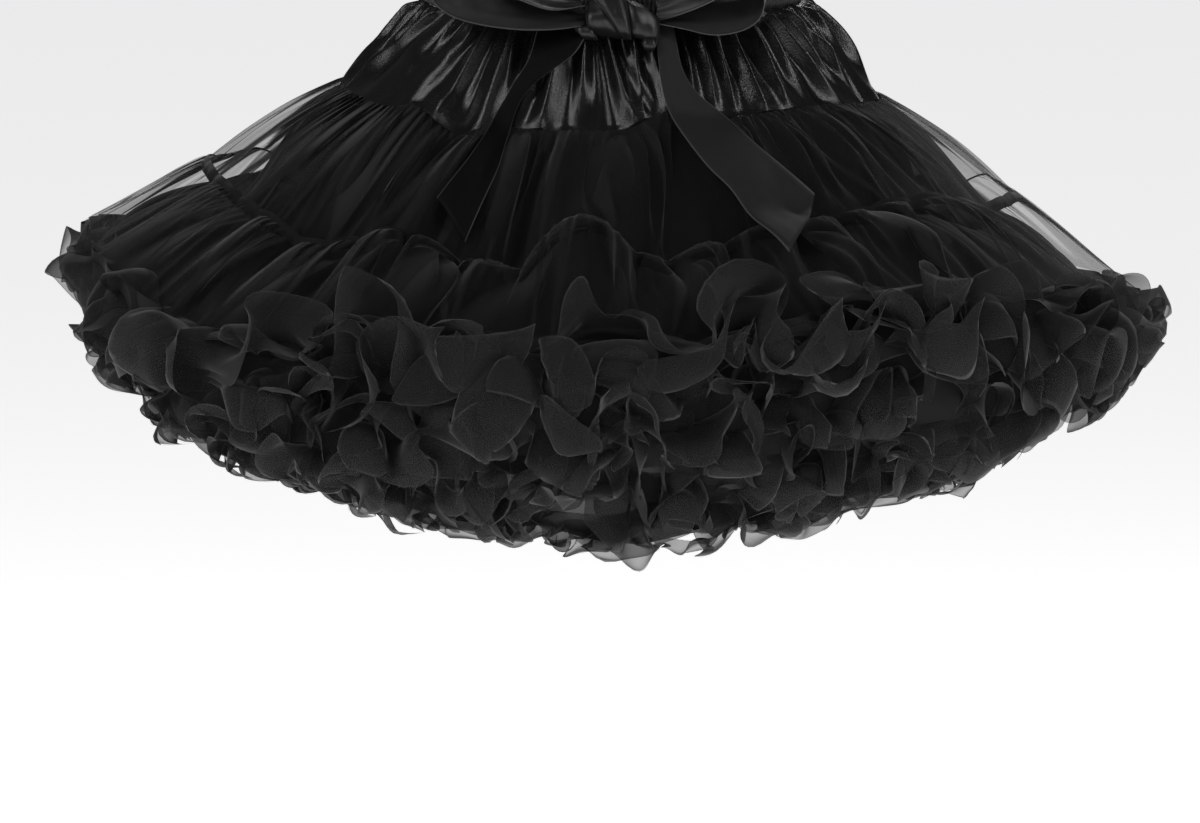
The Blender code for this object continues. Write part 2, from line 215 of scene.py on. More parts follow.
def wall_surface(wall, angle, down):
    """Points of the smooth wall at each angle and share of the way down, and the way it faces."""
    top, bottom = ring_points(wall.top, angle), ring_points(wall.bottom, angle)
    facing = unit(np.cross(bottom - top, np.cross(UP, from_front(angle))))
    belly = wall.puff * np.sin(math.pi * down**wall.belly)
    return top + (bottom - top) * down[..., None] + facing * belly[..., None], facing


def mesh_grid(rows, columns, first=0.0, last=360.0, closed=True):
    """Angles and shares of the way down for a grid of cloth."""
    angle = np.linspace(math.radians(first), math.radians(last), columns, endpoint=not closed)
    down = np.linspace(0, 1, rows)
    return np.broadcast_to(angle, (rows, columns)), np.broadcast_to(down[:, None], (rows, columns))


# A crease starts and ends at shares of the way down, and leans sideways on the way, in degrees. It
# is a trough between two raised shoulders, or a fold that stands up between two hollows.
Crease = namedtuple("Crease", "angle lean width depth start end")


def trough(x):
    return np.where(x < 4, -np.exp(-(x**2)) + 0.55 * np.exp(-(((x - 1.75) / 0.75) ** 2)), 0)


def crest(x):
    return np.exp(-1.2 * np.sqrt(x * x + 0.02) ** 1.5) - 0.4 * np.exp(-(((x - 1.9) / 0.8) ** 2))


# A kind of crease: its profile, how wide it is at its top and how much it gains by its bottom, as
# shares of its width, and where it fades in and out, counted from its start and its end.
CreaseKind = namedtuple("CreaseKind", "profile top gain fade_in fade_out")
TROUGHS = CreaseKind(trough, 0.7, 0.6, (-0.04, 0.08), (-0.35, 0.02))
FOLDS = CreaseKind(crest, 0.55, 1.1, (-0.03, 0.16), (-0.5, 0.02))


def scattered_creases(seed, count, width, depth, start, end, lean, first=0.0, last=360.0):
    """Creases at uneven places between two angles, no two alike."""
    random = np.random.default_rng(seed)
    step = (last - first) / count
    return [
        Crease(
            first + step * (i + random.uniform(0.1, 0.9)),
            random.normal() * lean,
            width * random.uniform(0.6, 1.5),
            depth * random.uniform(0.35, 1.25),
            start * random.uniform(0.0, 1.0),
            end * random.uniform(0.45, 1.15),
        )
        for i in range(count)
    ]


def crease_heights(kind, angle, down, radius, creases):
    """How far the creases raise or sink the cloth, in millimetres."""
    height = np.zeros_like(angle)
    for crease in creases:
        centre = math.radians(crease.angle) + math.radians(crease.lean) * down
        away = np.abs(turn_between(angle, centre)) * radius
        width = crease.width * (kind.top + kind.gain * down)
        begun = smooth_step(*[crease.start + share for share in kind.fade_in], down)
        ended = smooth_step(*[crease.end + share for share in kind.fade_out], down)
        height += crease.depth * kind.profile(away / width) * (begun * (1 - ended))
    return height


# ---------------------------------------------------------------------------------------------
# Meshes

def store(mesh, name, values):
    """A number kept at each point of a mesh, for its finish to read."""
    attribute = mesh.attributes.new(name, "FLOAT", "POINT")
    attribute.data.foreach_set("value", values.astype(np.float32).ravel())


def add_piece(
    name, points, material, closed=True, edge=None, thickness=0.0, back=None, folded=None
):
    """A sheet of cloth from a grid of points, its own lengths kept as texture coordinates."""
    rows, columns = points.shape[:2]
    index = np.arange(rows * columns).reshape(rows, columns)
    after = np.roll(index, -1, axis=1) if closed else index[:, 1:]
    here = index if closed else index[:, :-1]
    faces = np.stack([here[:-1], here[1:], after[1:], after[:-1]], -1).reshape(-1, 4)
    mesh = bpy.data.meshes.new(name)
    mesh.from_pydata((points.reshape(-1, 3) * MM).tolist(), [], faces.tolist())
    around = np.linalg.norm(np.diff(points, axis=1, append=points[:, :1]), axis=-1)
    longest = around[around.sum(1).argmax()]
    along = np.concatenate([[0], np.cumsum(longest)])
    step = np.linalg.norm(np.diff(points, axis=0), axis=-1).mean(1)
    across = np.concatenate([[0], np.cumsum(step)])
    column = faces % columns
    wrapped = closed & (column == 0) & (column.max(1, keepdims=True) == columns - 1)
    u = along[np.where(wrapped, columns, column)]
    v = across[faces // columns]
    layer = mesh.uv_layers.new(name="UVMap")
    layer.data.foreach_set("uv", (np.stack([u, v], -1) * MM).astype(np.float32).ravel())
    store(mesh, "edge", np.full((rows, columns), 1.0) if edge is None else edge * MM)
    if folded is not None:
        store(mesh, "folded", folded)
    mesh.shade_smooth()
    mesh.materials.append(material)
    piece = bpy.data.objects.new(name, mesh)
    bpy.context.collection.objects.link(piece)
    if thickness:
        solid = piece.modifiers.new("thickness", "SOLIDIFY")
        solid.thickness = thickness * MM
        solid.offset = 0
    if back:
        mesh.materials.append(back)
        solid.material_offset = 1
    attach(piece, "root")
    return piece


def joined(name, pieces):
    """Several sheets of one kind as one piece."""
    with bpy.context.temp_override(
        active_object=pieces[0], selected_editable_objects=pieces, selected_objects=pieces
    ):
        bpy.ops.object.join()
    pieces[0].name = name
    pieces[0].data.name = name
    return pieces[0]


# ---------------------------------------------------------------------------------------------
# Finishes

def feed(tree, socket, value):
    """Gives an input a number, a colour or another node's output."""
    if isinstance(value, bpy.types.NodeSocket):
        tree.links.new(value, socket)
    else:
        socket.default_value = (*value, 1.0) if socket.type == "RGBA" else value


def feed_all(tree, node, **values):
    """Feeds a node's inputs, named with underscores for spaces."""
    for name, value in values.items():
        feed(tree, node.inputs[name.replace("_", " ")], value)
    return node


def feed_in_order(tree, node, *values):
    for socket, value in zip(node.inputs, values):
        feed(tree, socket, value)
    return node.outputs[0]


def new_node(tree, kind, **values):
    return feed_all(tree, tree.nodes.new(f"ShaderNode{kind}"), **values)


def math_node(tree, operation, *values, clamp=False):
    """The result of a Math node, worked out from numbers and other nodes' outputs."""
    node = new_node(tree, "Math")
    node.operation = operation
    node.use_clamp = clamp
    return feed_in_order(tree, node, *values)


def map_range(tree, value, low, high, to_low, to_high):
    return feed_in_order(tree, new_node(tree, "MapRange"), value, low, high, to_low, to_high)


def blended_colour(tree, share, first, second):
    """A colour between two, each a colour or another node's output."""
    node = new_node(tree, "Mix", Factor=share)
    node.data_type = "RGBA"
    for socket, value in zip([s for s in node.inputs if s.type == "RGBA"], (first, second)):
        feed(tree, socket, value)
    return next(s for s in node.outputs if s.type == "RGBA")


def stored_number(tree, name):
    """A number that the mesh keeps at each of its points."""
    node = new_node(tree, "Attribute")
    node.attribute_name = name
    return node.outputs["Fac"]


def cloth_place(tree):
    """Each place's distances along the cloth and across it, in metres."""
    return new_node(tree, "UVMap").outputs[0]


def new_group(name, inputs, outputs):
    """A shader node group with named number sockets, what it is given and its output node."""
    tree = bpy.data.node_groups.new(name, "ShaderNodeTree")
    for socket, value in inputs.items():
        made = tree.interface.new_socket(socket, in_out="INPUT", socket_type="NodeSocketFloat")
        made.default_value = value
    for socket in outputs:
        tree.interface.new_socket(socket, in_out="OUTPUT", socket_type="NodeSocketFloat")
    return tree, tree.nodes.new("NodeGroupInput").outputs, tree.nodes.new("NodeGroupOutput")


def threads_group():
    """Threads that cross at a pitch: 0 in the holes, 1 on the threads."""
    tree, given, result = new_group("Threads", {"Pitch": 0.0014}, ["Threads"])
    place = new_node(tree, "SeparateXYZ", Vector=cloth_place(tree)).outputs
    rate = math_node(tree, "DIVIDE", 2 * math.pi, given["Pitch"])
    waves = [
        math_node(tree, "SINE", math_node(tree, "MULTIPLY", place[axis], rate)) for axis in (0, 1)
    ]
    crossing = math_node(tree, "MAXIMUM", *waves)
    feed_all(tree, result, Threads=map_range(tree, crossing, -0.6, 1.0, 0.0, 1.0))
    return tree


def grain_group():
    """Fine uneven grain and slow patches in the cloth, each from 0 to 1."""
    sizes = {"Grain size": 0.0006, "Patch size": 0.03}
    tree, given, result = new_group("Grain", sizes, ["Grain", "Patches"])
    place = cloth_place(tree)
    for socket, size in zip(result.inputs, sizes):
        scale = math_node(tree, "DIVIDE", 1.0, given[size])
        noise = new_node(tree, "TexNoise", Vector=place, Scale=scale, Detail=2.0)
        feed(tree, socket, map_range(tree, noise.outputs[0], 0.3, 0.7, 0.0, 1.0))
    return tree


def edge_group():
    """How near a finished edge the cloth is: 1 on the edge, 0 beyond its width."""
    tree, given, result = new_group("Finished edge", {"Width": 0.001}, ["Edge"])
    half = math_node(tree, "MULTIPLY", given["Width"], 0.6)
    distance = stored_number(tree, "edge")
    feed_all(tree, result, Edge=map_range(tree, distance, half, given["Width"], 1.0, 0.0))
    return tree


def lint_group():
    """Small pale specks of lint, scattered far apart."""
    tree, given, result = new_group("Lint", {"Spacing": 0.05, "Size": 0.0009}, ["Lint"])
    turned = new_node(
        tree, "Mapping", Vector=cloth_place(tree), Scale=(1.0, 0.55, 1.0), Rotation=(0.0, 0.0, 0.7)
    )
    scale = math_node(tree, "DIVIDE", 1.0, given["Spacing"])
    cells = new_node(tree, "TexVoronoi", Vector=turned.outputs[0], Scale=scale)
    reach = math_node(tree, "DIVIDE", given["Size"], given["Spacing"])
    feed_all(tree, result, Lint=math_node(tree, "LESS_THAN", cells.outputs["Distance"], reach))
    return tree


GROUP_MAKERS = {
    "Threads": threads_group, "Grain": grain_group, "Finished edge": edge_group, "Lint": lint_group,
}


def place_group(tree, name, **values):
    """The outputs of the named group in a material. It is made the first time it is asked for."""
    node = new_node(tree, "Group")
    node.node_tree = bpy.data.node_groups.get(name) or GROUP_MAKERS[name]()
    return feed_all(tree, node, **values).outputs


def add_bump(tree, shader, height, distance, strength):
    bump = new_node(tree, "Bump", Distance=distance, Strength=strength, Height=height)
    feed_all(tree, shader, Normal=bump.outputs[0])


def new_material(name, **values):
    material = bpy.data.materials.new(name)
    material.use_nodes = True
    tree = material.node_tree
    return material, tree, feed_all(tree, tree.nodes["Principled BSDF"], **values)


def toned(colour, brightness):
    return [part * brightness for part in colour]


def grained_cloth(name, colour, tones, grain_size, patch_size, roughness, **values):
    """A material between two tones of a colour by its grain, and as rough as its patches say. Gives
    its tree and its shader, and outputs for its grain, its colour and its roughness."""
    material, tree, shader = new_material(name, **values)
    grain = place_group(tree, "Grain", Grain_size=grain_size, Patch_size=patch_size)
    dark, light = (toned(colour, tone) for tone in tones)
    cloth = blended_colour(tree, grain["Grain"], dark, light)
    rough = map_range(tree, grain["Patches"], 0, 1, *roughness)
    feed_all(tree, shader, Base_Color=cloth, Roughness=rough)
    return material, tree, shader, (grain["Grain"], cloth, rough)


def satin_finish(colours):
    """Black satin: glossy, with fine grain in the sheen."""
    material, tree, shader, (grain, _, polish) = grained_cloth(
        "satin", colours.satin, (0.3, 0.8), 0.0011, 0.02, (0.12, 0.20), Specular_IOR_Level=0.5
    )
    feed_all(tree, shader, Roughness=math_node(tree, "MULTIPLY_ADD", grain, 0.12, polish))
    add_bump(tree, shader, grain, 0.00014, 0.7)
    return material


def band_finish(colours):
    """The shirred band: the same satin, duller, and painted paler as a painted sheen on its fine
    gathers.
    """
    material, tree, shader, (grain, _, _) = grained_cloth(
        "shirred satin", colours.satin, (1.0, 1.6), 0.0008, 0.01, (0.42, 0.55),
        Sheen_Weight=0.2, Sheen_Roughness=0.5,
    )
    add_bump(tree, shader, grain, 0.0001, 0.5)
    return material


def ribbon_finish(name, colours, brightness, roughness, gloss):
    """Ribbon with fine ribs across it and a thin bright selvedge."""
    material, tree, shader, (_, cloth, _) = grained_cloth(
        name, colours.ribbon, (0.85 * brightness, 1.15 * brightness), 0.0005, 0.015,
        (roughness - 0.05, roughness + 0.05), Specular_IOR_Level=gloss,
    )
    edge = place_group(tree, "Finished edge", Width=0.0009)["Edge"]
    feed_all(tree, shader, Base_Color=blended_colour(tree, edge, cloth, colours.selvedge))
    add_bump(tree, shader, place_group(tree, "Threads", Pitch=0.0009)["Threads"], 0.00008, 0.5)
    return material


THREAD_TINT = 0.025  # how much of the threads' own colour shows in the net
PLEAT_LAYERS = 9.0  # how many layers a full pleat adds
EDGE_ON = 0.35  # the net gets no denser when it is seen more edge-on than this
THREAD_SHARE = 0.07  # how much of what one layer lets through its threads stop
GRAIN_SHARE = 0.02
THREADS_AND_GRAIN = 0.03  # about what the two stop together, on average
RIM_COVER = 0.85
LINT_COLOUR = (0.35, 0.34, 0.32)


def net_finish(name, colours, cover, tone=1.0, rim_highlight=0.0, rim_width=0.001):
    """Net: cover is how much of the light one layer stops, rim_highlight how bright the painted
    highlight on its edge is, and tone how much lighter or darker this copy of the net is painted, as
    painted light and shade.
    """
    material, tree, shader = new_material(
        name, Roughness=0.8, Sheen_Weight=0.2, Sheen_Roughness=0.35, Specular_IOR_Level=0.2
    )
    threads = place_group(tree, "Threads", Pitch=0.0016)["Threads"]
    grain = place_group(tree, "Grain", Grain_size=0.003, Patch_size=0.045)
    lint = place_group(tree, "Lint", Spacing=0.055, Size=0.0007)["Lint"]
    # tone paints this copy of the net lighter or darker: painted light and shade, on top of its own
    # patchy tone
    dark, light = toned(colours.net, tone * 0.75), toned(colours.net, tone * 1.5)
    cloth = blended_colour(tree, grain["Patches"], dark, light)
    tint = math_node(tree, "MULTIPLY", threads, THREAD_TINT)
    cloth = blended_colour(tree, tint, cloth, colours.thread)
    slant = math_node(tree, "SUBTRACT", 1.0, new_node(tree, "LayerWeight").outputs["Facing"])
    pleated = math_node(tree, "MULTIPLY_ADD", stored_number(tree, "folded"), PLEAT_LAYERS, 1.0)
    layers = math_node(tree, "DIVIDE", pleated, math_node(tree, "MAXIMUM", slant, EDGE_ON))
    openness = 1 + THREADS_AND_GRAIN - cover
    holes = math_node(tree, "MULTIPLY_ADD", threads, -THREAD_SHARE * openness, openness)
    holes = math_node(
        tree, "MULTIPLY_ADD", grain["Grain"], -GRAIN_SHARE * openness, holes, clamp=True
    )
    solid = math_node(tree, "SUBTRACT", 1.0, math_node(tree, "POWER", holes, layers))
    # The finished edge is denser and painted lighter, in uneven patches: a painted highlight along
    # the edge
    if rim_highlight:
        edge = place_group(tree, "Finished edge", Width=rim_width)["Edge"]
        uneven = map_range(tree, grain["Patches"], 0, 1, 0.2 * rim_highlight, rim_highlight)
        cloth = blended_colour(tree, math_node(tree, "MULTIPLY", edge, uneven), cloth, colours.rim_highlight)
        solid = math_node(tree, "MAXIMUM", solid, math_node(tree, "MULTIPLY", edge, RIM_COVER))
    feed_all(
        tree, shader, Base_Color=blended_colour(tree, lint, cloth, LINT_COLOUR),
        Alpha=math_node(tree, "MAXIMUM", solid, lint, clamp=True),
    )
    return material


# ---------------------------------------------------------------------------------------------
# The waistband and the yoke

BAND_ROWS = 17
BAND_CHANNELS = 4  # rows of elastic
POINTS_IN_A_GATHER = 6


def shirred_band(sizes):
    """The gathered elastic band: fine upright gathers, pinched along rows of elastic."""
    angle, down = mesh_grid(BAND_ROWS, sizes.band_gathers * POINTS_IN_A_GATHER)
    points, facing = wall_surface(WALLS["waistband"], angle, down)
    phase = sizes.band_gathers * angle + 1.2 * wander(angle, 11, 5, 30)
    channels = 0.5 - 0.5 * np.cos(2 * math.pi * down * BAND_CHANNELS)
    frill = smooth_step(0.12, 0.0, down)
    depth = 0.75 + 0.55 * channels + 1.1 * frill + 0.25 * wander(angle + down * 0.4, 12, 20, 70)
    return points + facing * (depth * np.sin(phase) + 1.2 * channels)[..., None]


# The folds that show at the front of the yoke, from its left side seam to its right.
FRONT_FOLDS = [Crease(*row) for row in (
    (-74, -6, 8.0, 3.5, 0, 1.2), (-60, -24, 7.0, 6.0, 0, 0.95), (-53, -6, 12.0, 4.0, 0.45, 1.4),
    (-47, -10, 5.0, 4.0, 0, 0.7), (-40, -4, 4.0, 4.0, 0.05, 0.45),
    (-33.5, -6.5, 6.5, 7.5, 0.02, 1.4), (-40, 0, 11.0, 3.5, 0.72, 1.5),
    (-30.5, -4, 3.8, 5.0, 0.04, 1.1), (-26.5, 2, 3.6, 5.5, 0.02, 0.8),
    (-21, 1, 4.6, 4.0, 0, 0.95), (-16.5, -2, 3.4, 3.5, 0.05, 0.6), (-12, -3, 4.2, 6.5, 0.04, 1.3),
    (-7, 0.5, 3.6, 6.5, 0.02, 0.95), (-3, 8, 3.6, 7.0, 0.02, 1.35), (1.4, 5, 3.0, 5.0, 0.06, 0.75),
    (5, 2, 3.4, 4.5, 0.05, 1.25), (8.4, 4, 3.4, 5.5, 0.03, 0.85), (13.5, 1, 4.4, 5.0, 0.02, 1.2),
    (18, 1, 3.4, 4.5, 0.03, 1.0), (22.3, 2, 3.8, 6.0, 0.02, 1.05), (27, 1.5, 3.6, 6.0, 0.02, 1.1),
    (32.6, 1.8, 4.4, 6.5, 0.02, 1.3), (38.8, 1.5, 5.0, 7.0, 0.02, 1.15),
    (40.5, 0, 12.0, 3.5, 0.7, 1.5), (44, 6, 3.6, 4.0, 0.05, 0.8), (48, 10, 5.0, 6.0, 0, 1.25),
    (54, 10, 4.0, 4.0, 0.05, 0.9), (58.5, 14, 5.0, 5.0, 0, 1.2), (64, 4, 4.0, 3.0, 0.1, 0.9),
)]


YOKE_ROWS = 56
YOKE_RADIUS = 165
FINE_GATHERS = scattered_creases(21, 150, 2.6, 1.6, 0.0, 0.22, 1.0)
SEAM_TURN = (math.radians(0.2), math.radians(2.5))  # where the folds fade out beside a side seam
WELT = 1.6  # how far the side seams stand up
WELT_TURN = math.radians(0.5)
LEFT_FLATTER = 9.0  # how much less than the wall the yoke bellies out at its left side
RIGHT_FLATTER = 3.0


def satin_panel(first, last, columns, folds):
    """One panel of the yoke, with its gathers at the band and the folds that run down from them."""
    angle, down = mesh_grid(YOKE_ROWS, columns, first, last, closed=False)
    points, facing = wall_surface(WALLS["yoke"], angle, down)
    height = crease_heights(FOLDS, angle, down, YOKE_RADIUS, folds)
    height += crease_heights(TROUGHS, angle, down, YOKE_RADIUS, FINE_GATHERS)
    swell = 1.6 * wander(angle + 0.25 * down, 23, 9, 22) * smooth_step(0.05, 0.5, down)
    settle = smooth_step(1.0, 0.93, down)
    to_first, to_last = angle - math.radians(first), math.radians(last) - angle
    ends = smooth_step(*SEAM_TURN, to_first) * smooth_step(*SEAM_TURN, to_last)
    proud = (height + swell - 2.0) * (0.6 + 0.4 * settle) * ends + 0.6 * ends
    proud += WELT * np.exp(-((np.minimum(to_first, to_last) / WELT_TURN) ** 2))
    flatter = np.where(np.sin(angle) < 0, LEFT_FLATTER, RIGHT_FLATTER) * near_sides(angle, 4)
    proud -= flatter * np.sin(math.pi * down**0.6)
    return points + facing * proud[..., None]


# ---------------------------------------------------------------------------------------------
# The net tiers

# How far inside the wall a net hangs at its top and its bottom: at the front and back, at the left
# side and at the right side.
Sink = namedtuple("Sink", "middle left right")
ON_WALL = Sink((0, 0), (0, 0), (0, 0))

# A net has fine gathers at its seam and long folds that fan out from it. Lean is how far the folds
# lean sideways, depth how deep they are, and crown how far the net puffs out in its seam's arcs.
Net = namedtuple("Net", "wall rows columns seed gathers folds lean depth crown sink")
NETS = {
    "outer_tier_1_net": Net("outer_tier_1", 30, 1400, 101, 200, 50, 1.3, 5.5, 0, ON_WALL),
    "outer_tier_2_net": Net("outer_tier_2", 30, 1500, 111, 230, 56, 1.4, 7.0, 11, ON_WALL),
    "outer_tier_1_inner_layer": Net(
        "outer_tier_1", 14, 800, 180, 150, 40, 1.0, 9.0, 0, Sink((2, 13), (4, 40), (3, 20))
    ),
    "outer_tier_2_inner_layer": Net(
        "outer_tier_2", 14, 800, 190, 150, 40, 1.0, 9.0, 0, Sink((13, 3), (22, 16), (24, 26))
    ),
    "under_tier_1_net": Net("under_tier_1", 16, 900, 140, 120, 40, 0.3, 5.0, 0, ON_WALL),
    "under_tier_2_net": Net("under_tier_2", 16, 900, 150, 120, 40, 0.3, 5.0, 0, ON_WALL),
}


def net_radius(net):
    wall = WALLS[net.wall]
    return (RINGS[wall.top].half_width + RINGS[wall.bottom].half_width) / 2


def net_points(name):
    net = NETS[name]
    angle, down = mesh_grid(net.rows, net.columns)
    points, facing = wall_surface(WALLS[net.wall], angle, down)
    radius = net_radius(net)
    phase = net.gathers * angle + 1.5 * wander(angle, net.seed, 9, 40)
    gathers = np.sin(phase) * (1.0 + 0.5 * wander(angle, net.seed + 1, 10, 50)) * np.exp(-down * 7)
    creases = scattered_creases(net.seed + 2, net.folds, 6.0, 4.0, 0.12, 1.25, 1.6)
    creases += scattered_creases(net.seed + 3, net.folds, 3.2, 1.9, 0.05, 0.7, 1.2)
    long_folds = wander(angle + 0.03 * down, net.seed + 4, 14, 40)
    long_folds = long_folds * np.sin(math.pi * np.clip(down, 0, 0.9))
    folds = crease_heights(TROUGHS, angle, down, radius, creases) + net.depth * long_folds
    height = 1.1 * gathers + folds * (1 - 0.8 * near_sides(angle, 4))
    arc, to_cusp = seam_arcs(angle)
    puffs = net.crown * (arc - 0.25) * np.sin(math.pi * down**0.45) ** 1.2 * near_middle(angle, 2)
    puffs = puffs - 0.5 * net.crown * near_sides(angle, 4) * np.sin(math.pi * down)
    tucks = 0.7 * net.crown * np.exp(-((to_cusp * radius / 6) ** 2)) * smooth_step(0.95, 0.1, down)
    tucks = tucks * (0.1 + 0.9 * near_middle(angle, 2))
    fall = smooth_step(0, 1, down)
    middle, left, right = (top + (bottom - top) * fall for top, bottom in net.sink)
    side = np.where(np.sin(angle) < 0, left, right)
    inward = middle + (side - middle) * near_sides(angle, 4)
    free = smooth_step(0.0, 0.05, down) * smooth_step(1.0, 0.95, down)  # 0 at the two seams
    proud = (height + puffs - tucks) * (0.3 + 0.7 * free) - inward
    shear = net.lean * (1 + 0.6 * wander(angle, net.seed + 6, 2, 7)) * height * free
    sideways = np.cross(UP, from_front(angle))
    return points + facing * proud[..., None] + sideways * shear[..., None]


# The deep pleats at the first tier's left side.
LEFT_PLEATS = (
    Crease(-60.0, -4.0, 12.0, 1.0, 0.0, 1.0),
    Crease(-68.0, -3.0, 9.0, 0.9, 0.0, 1.0),
    Crease(-76.0, -3.0, 10.0, 0.8, 0.0, 1.0),
)
PLAIN_PARTS = ((-98, -79), (70, 115))  # between these angles at the sides the net has no pleats


def pleat_share(name):
    """Where pleats fold a net double, from 0 to 1. Each narrows on its way down."""
    net = NETS[name]
    angle, down = mesh_grid(net.rows, net.columns)
    pleats = scattered_creases(net.seed + 5, net.folds, 5.0, 1.0, 0.0, 1.0, 2.5)
    for first, last in PLAIN_PARTS:
        pleats = [p for p in pleats if not first < (p.angle + 180) % 360 - 180 < last]
    if net.wall == "outer_tier_1":
        pleats += LEFT_PLEATS
    total = np.zeros_like(angle)
    for pleat in pleats:
        centre = math.radians(pleat.angle) + math.radians(pleat.lean) * down
        width = pleat.width * (0.2 + 1.2 * (1 - down) * pleat.depth)
        x = turn_between(angle, centre) * net_radius(net) / width
        total += np.exp(-(x**4)) * pleat.depth
    return np.clip(total, 0, 1)


SIDE_NARROWER = 0.85  # how much of the binding's width is turned in just behind the sides
NARROW_FROM = (91, 97)  # how far round from the front that starts, in degrees
NARROW_TO = (134, 122)
BINDING_SINK = 2.0  # how far the binding lies under the net at the front and back


def binding_points(width):
    """The binding on the seam between the tiers. It lies along the skirt at the sides, and is
    turned in flat at the front and back."""
    angle, down = mesh_grid(rows=5, columns=1400)
    out = unit(from_front(angle) + 0.8 * UP)
    bow = np.sin(math.pi * down) * 1.2 + 0.5 + 0.3 * wander(angle, 121, 30, 90)
    bow = bow - BINDING_SINK * near_middle(angle, 2)
    flat = near_middle(angle, 4)[..., None]
    along = unit(from_front(angle) * (0.8 - 1.8 * flat) - UP * (1 - flat))
    turn = np.abs(np.degrees(turn_between(angle, 0)))
    narrow = smooth_step(*NARROW_FROM, turn) * smooth_step(*NARROW_TO, turn)
    below = (down[..., None] - 0.5 * (1 - flat)) * (width * (1 - SIDE_NARROWER * narrow))[..., None]
    return ring_points("tier_seam", angle) + along * below + out * bow[..., None]


BACKING_LENGTH = 0.92  # as a share of the wall
BACKING_INSIDE = 16.0  # how much further in than the ruffles it stays


def backing_points(wall, seed):
    """The plain net that a row of ruffles is sewn to."""
    angle, down = mesh_grid(rows=14, columns=900)
    points, facing = wall_surface(WALLS[wall], angle, down * BACKING_LENGTH)
    inset = 1.0 + 7.0 * smooth_step(0.0, 0.25, down)
    points = points + facing * (2.5 * wander(angle, seed, 20, 60) - inset)[..., None]
    return kept_within(points, WALLS[wall], angle, inside=BACKING_INSIDE)


# ---------------------------------------------------------------------------------------------
# The ruffles

# A ruffle is a long strip of net gathered onto a wall, its free edge running in rounded loops.
# Place is how far down the wall it is sewn and proud how far off the wall. Flare is the angle at
# which it leaves the seam, from straight down outwards, and curl how far it bends by its edge, in
# degrees. Upturned is the share of loops that bend up instead. Swing and spread are how far the
# loops reach across the strip and along it.
Ruffle = namedtuple(
    "Ruffle", "wall place proud width loops flare curl upturned swing spread seed"
)
RUFFLES = {
    "upper_ruffles": [Ruffle("outer_hem", *row) for row in (
        (-0.05, 1, 56, 25, 66, -50, 0.0, 26, 16, 46),
        (0.10, 2, 38, 27, 108, -60, 0.3, 17, 12, 41),
        (0.10, 0, 46, 29, 96, -85, 0.3, 19, 12, 45),
        (0.05, -8, 72, 27, 84, -100, 0.4, 29, 14, 42),
        (0.20, -12, 64, 32, 78, -90, 0.35, 25, 11, 43),
        (0.34, -16, 58, 36, 74, -85, 0.3, 22, 10, 44),
    )],
    "hem_ruffles": [Ruffle("outer_hem", *row) for row in (
        (0.46, -16, 54, 40, 70, -85, 0.3, 20, 9, 51),
        (0.58, -18, 50, 43, 64, -75, 0.25, 18, 9, 52),
        (0.70, -18, 46, 46, 56, -65, 0.25, 17, 8, 53),
        (0.82, -18, 38, 50, 46, -50, 0.2, 15, 8, 54),
    )],
    "under_upper_ruffles": [Ruffle("under_hem", *row) for row in (
        (0.06, -8, 54, 38, 66, -75, 0.25, 18, 9, 61),
        (0.20, -10, 50, 42, 60, -65, 0.25, 17, 9, 62),
        (0.34, -12, 46, 45, 54, -60, 0.25, 15, 8, 63),
    )],
    "under_hem_ruffles": [Ruffle("under_hem", *row) for row in (
        (0.48, -12, 42, 47, 50, -55, 0.25, 14, 7, 71),
        (0.60, -12, 38, 50, 42, -50, 0.2, 13, 7, 72),
        (0.74, -12, 32, 52, 34, -45, 0.2, 11, 6, 73),
    )],
}
RUFFLE_COLUMNS = 29  # points along one loop of a ruffle
RUFFLE_ROWS = 12
# How uneven a ruffle's loops are: in flare, lean and roll, in degrees or millimetres, and in place.
FLARE_SCATTER, LEAN_SCATTER, ROLL_SCATTER, PLACE_SCATTER = 20, 14, 60, 0.11
UPTURNED_BEND = (10, 80)
GATHERS_IN_A_LOOP = 8
CRUMPLES = ((60, 9.0), (30, 2.2))  # how large the net's crumples are, and how far they move it
CRUMPLE_WAVES = 12
SOFTER_SIDES = 10  # how many times more the loops are evened out at the sides

# The outline of the skirt's ruffled edge from the front, as far across and as far down.
OUTLINE = (
    (-430, 190), (-440, 205), (-438, 238), (-422, 255), (-406, 290), (-386, 308), (-358, 320),
    (-342, 345), (-314, 360), (-280, 376), (-242, 386), (-204, 400), (-180, 412), (-129, 428),
    (-92, 433), (-54, 432), (-9, 446), (21, 449), (59, 440), (96, 431), (141, 426), (194, 409),
    (231, 396), (261, 395), (292, 378), (322, 354), (362, 349), (386, 326), (406, 303),
    (420, 286), (438, 278), (432, 252), (405, 215),
)
OUTLINE_MIDDLE = 180.0
LEVEL_OF_DEPTH = 0.14  # how much lower the cloth looks for each millimetre nearer the front

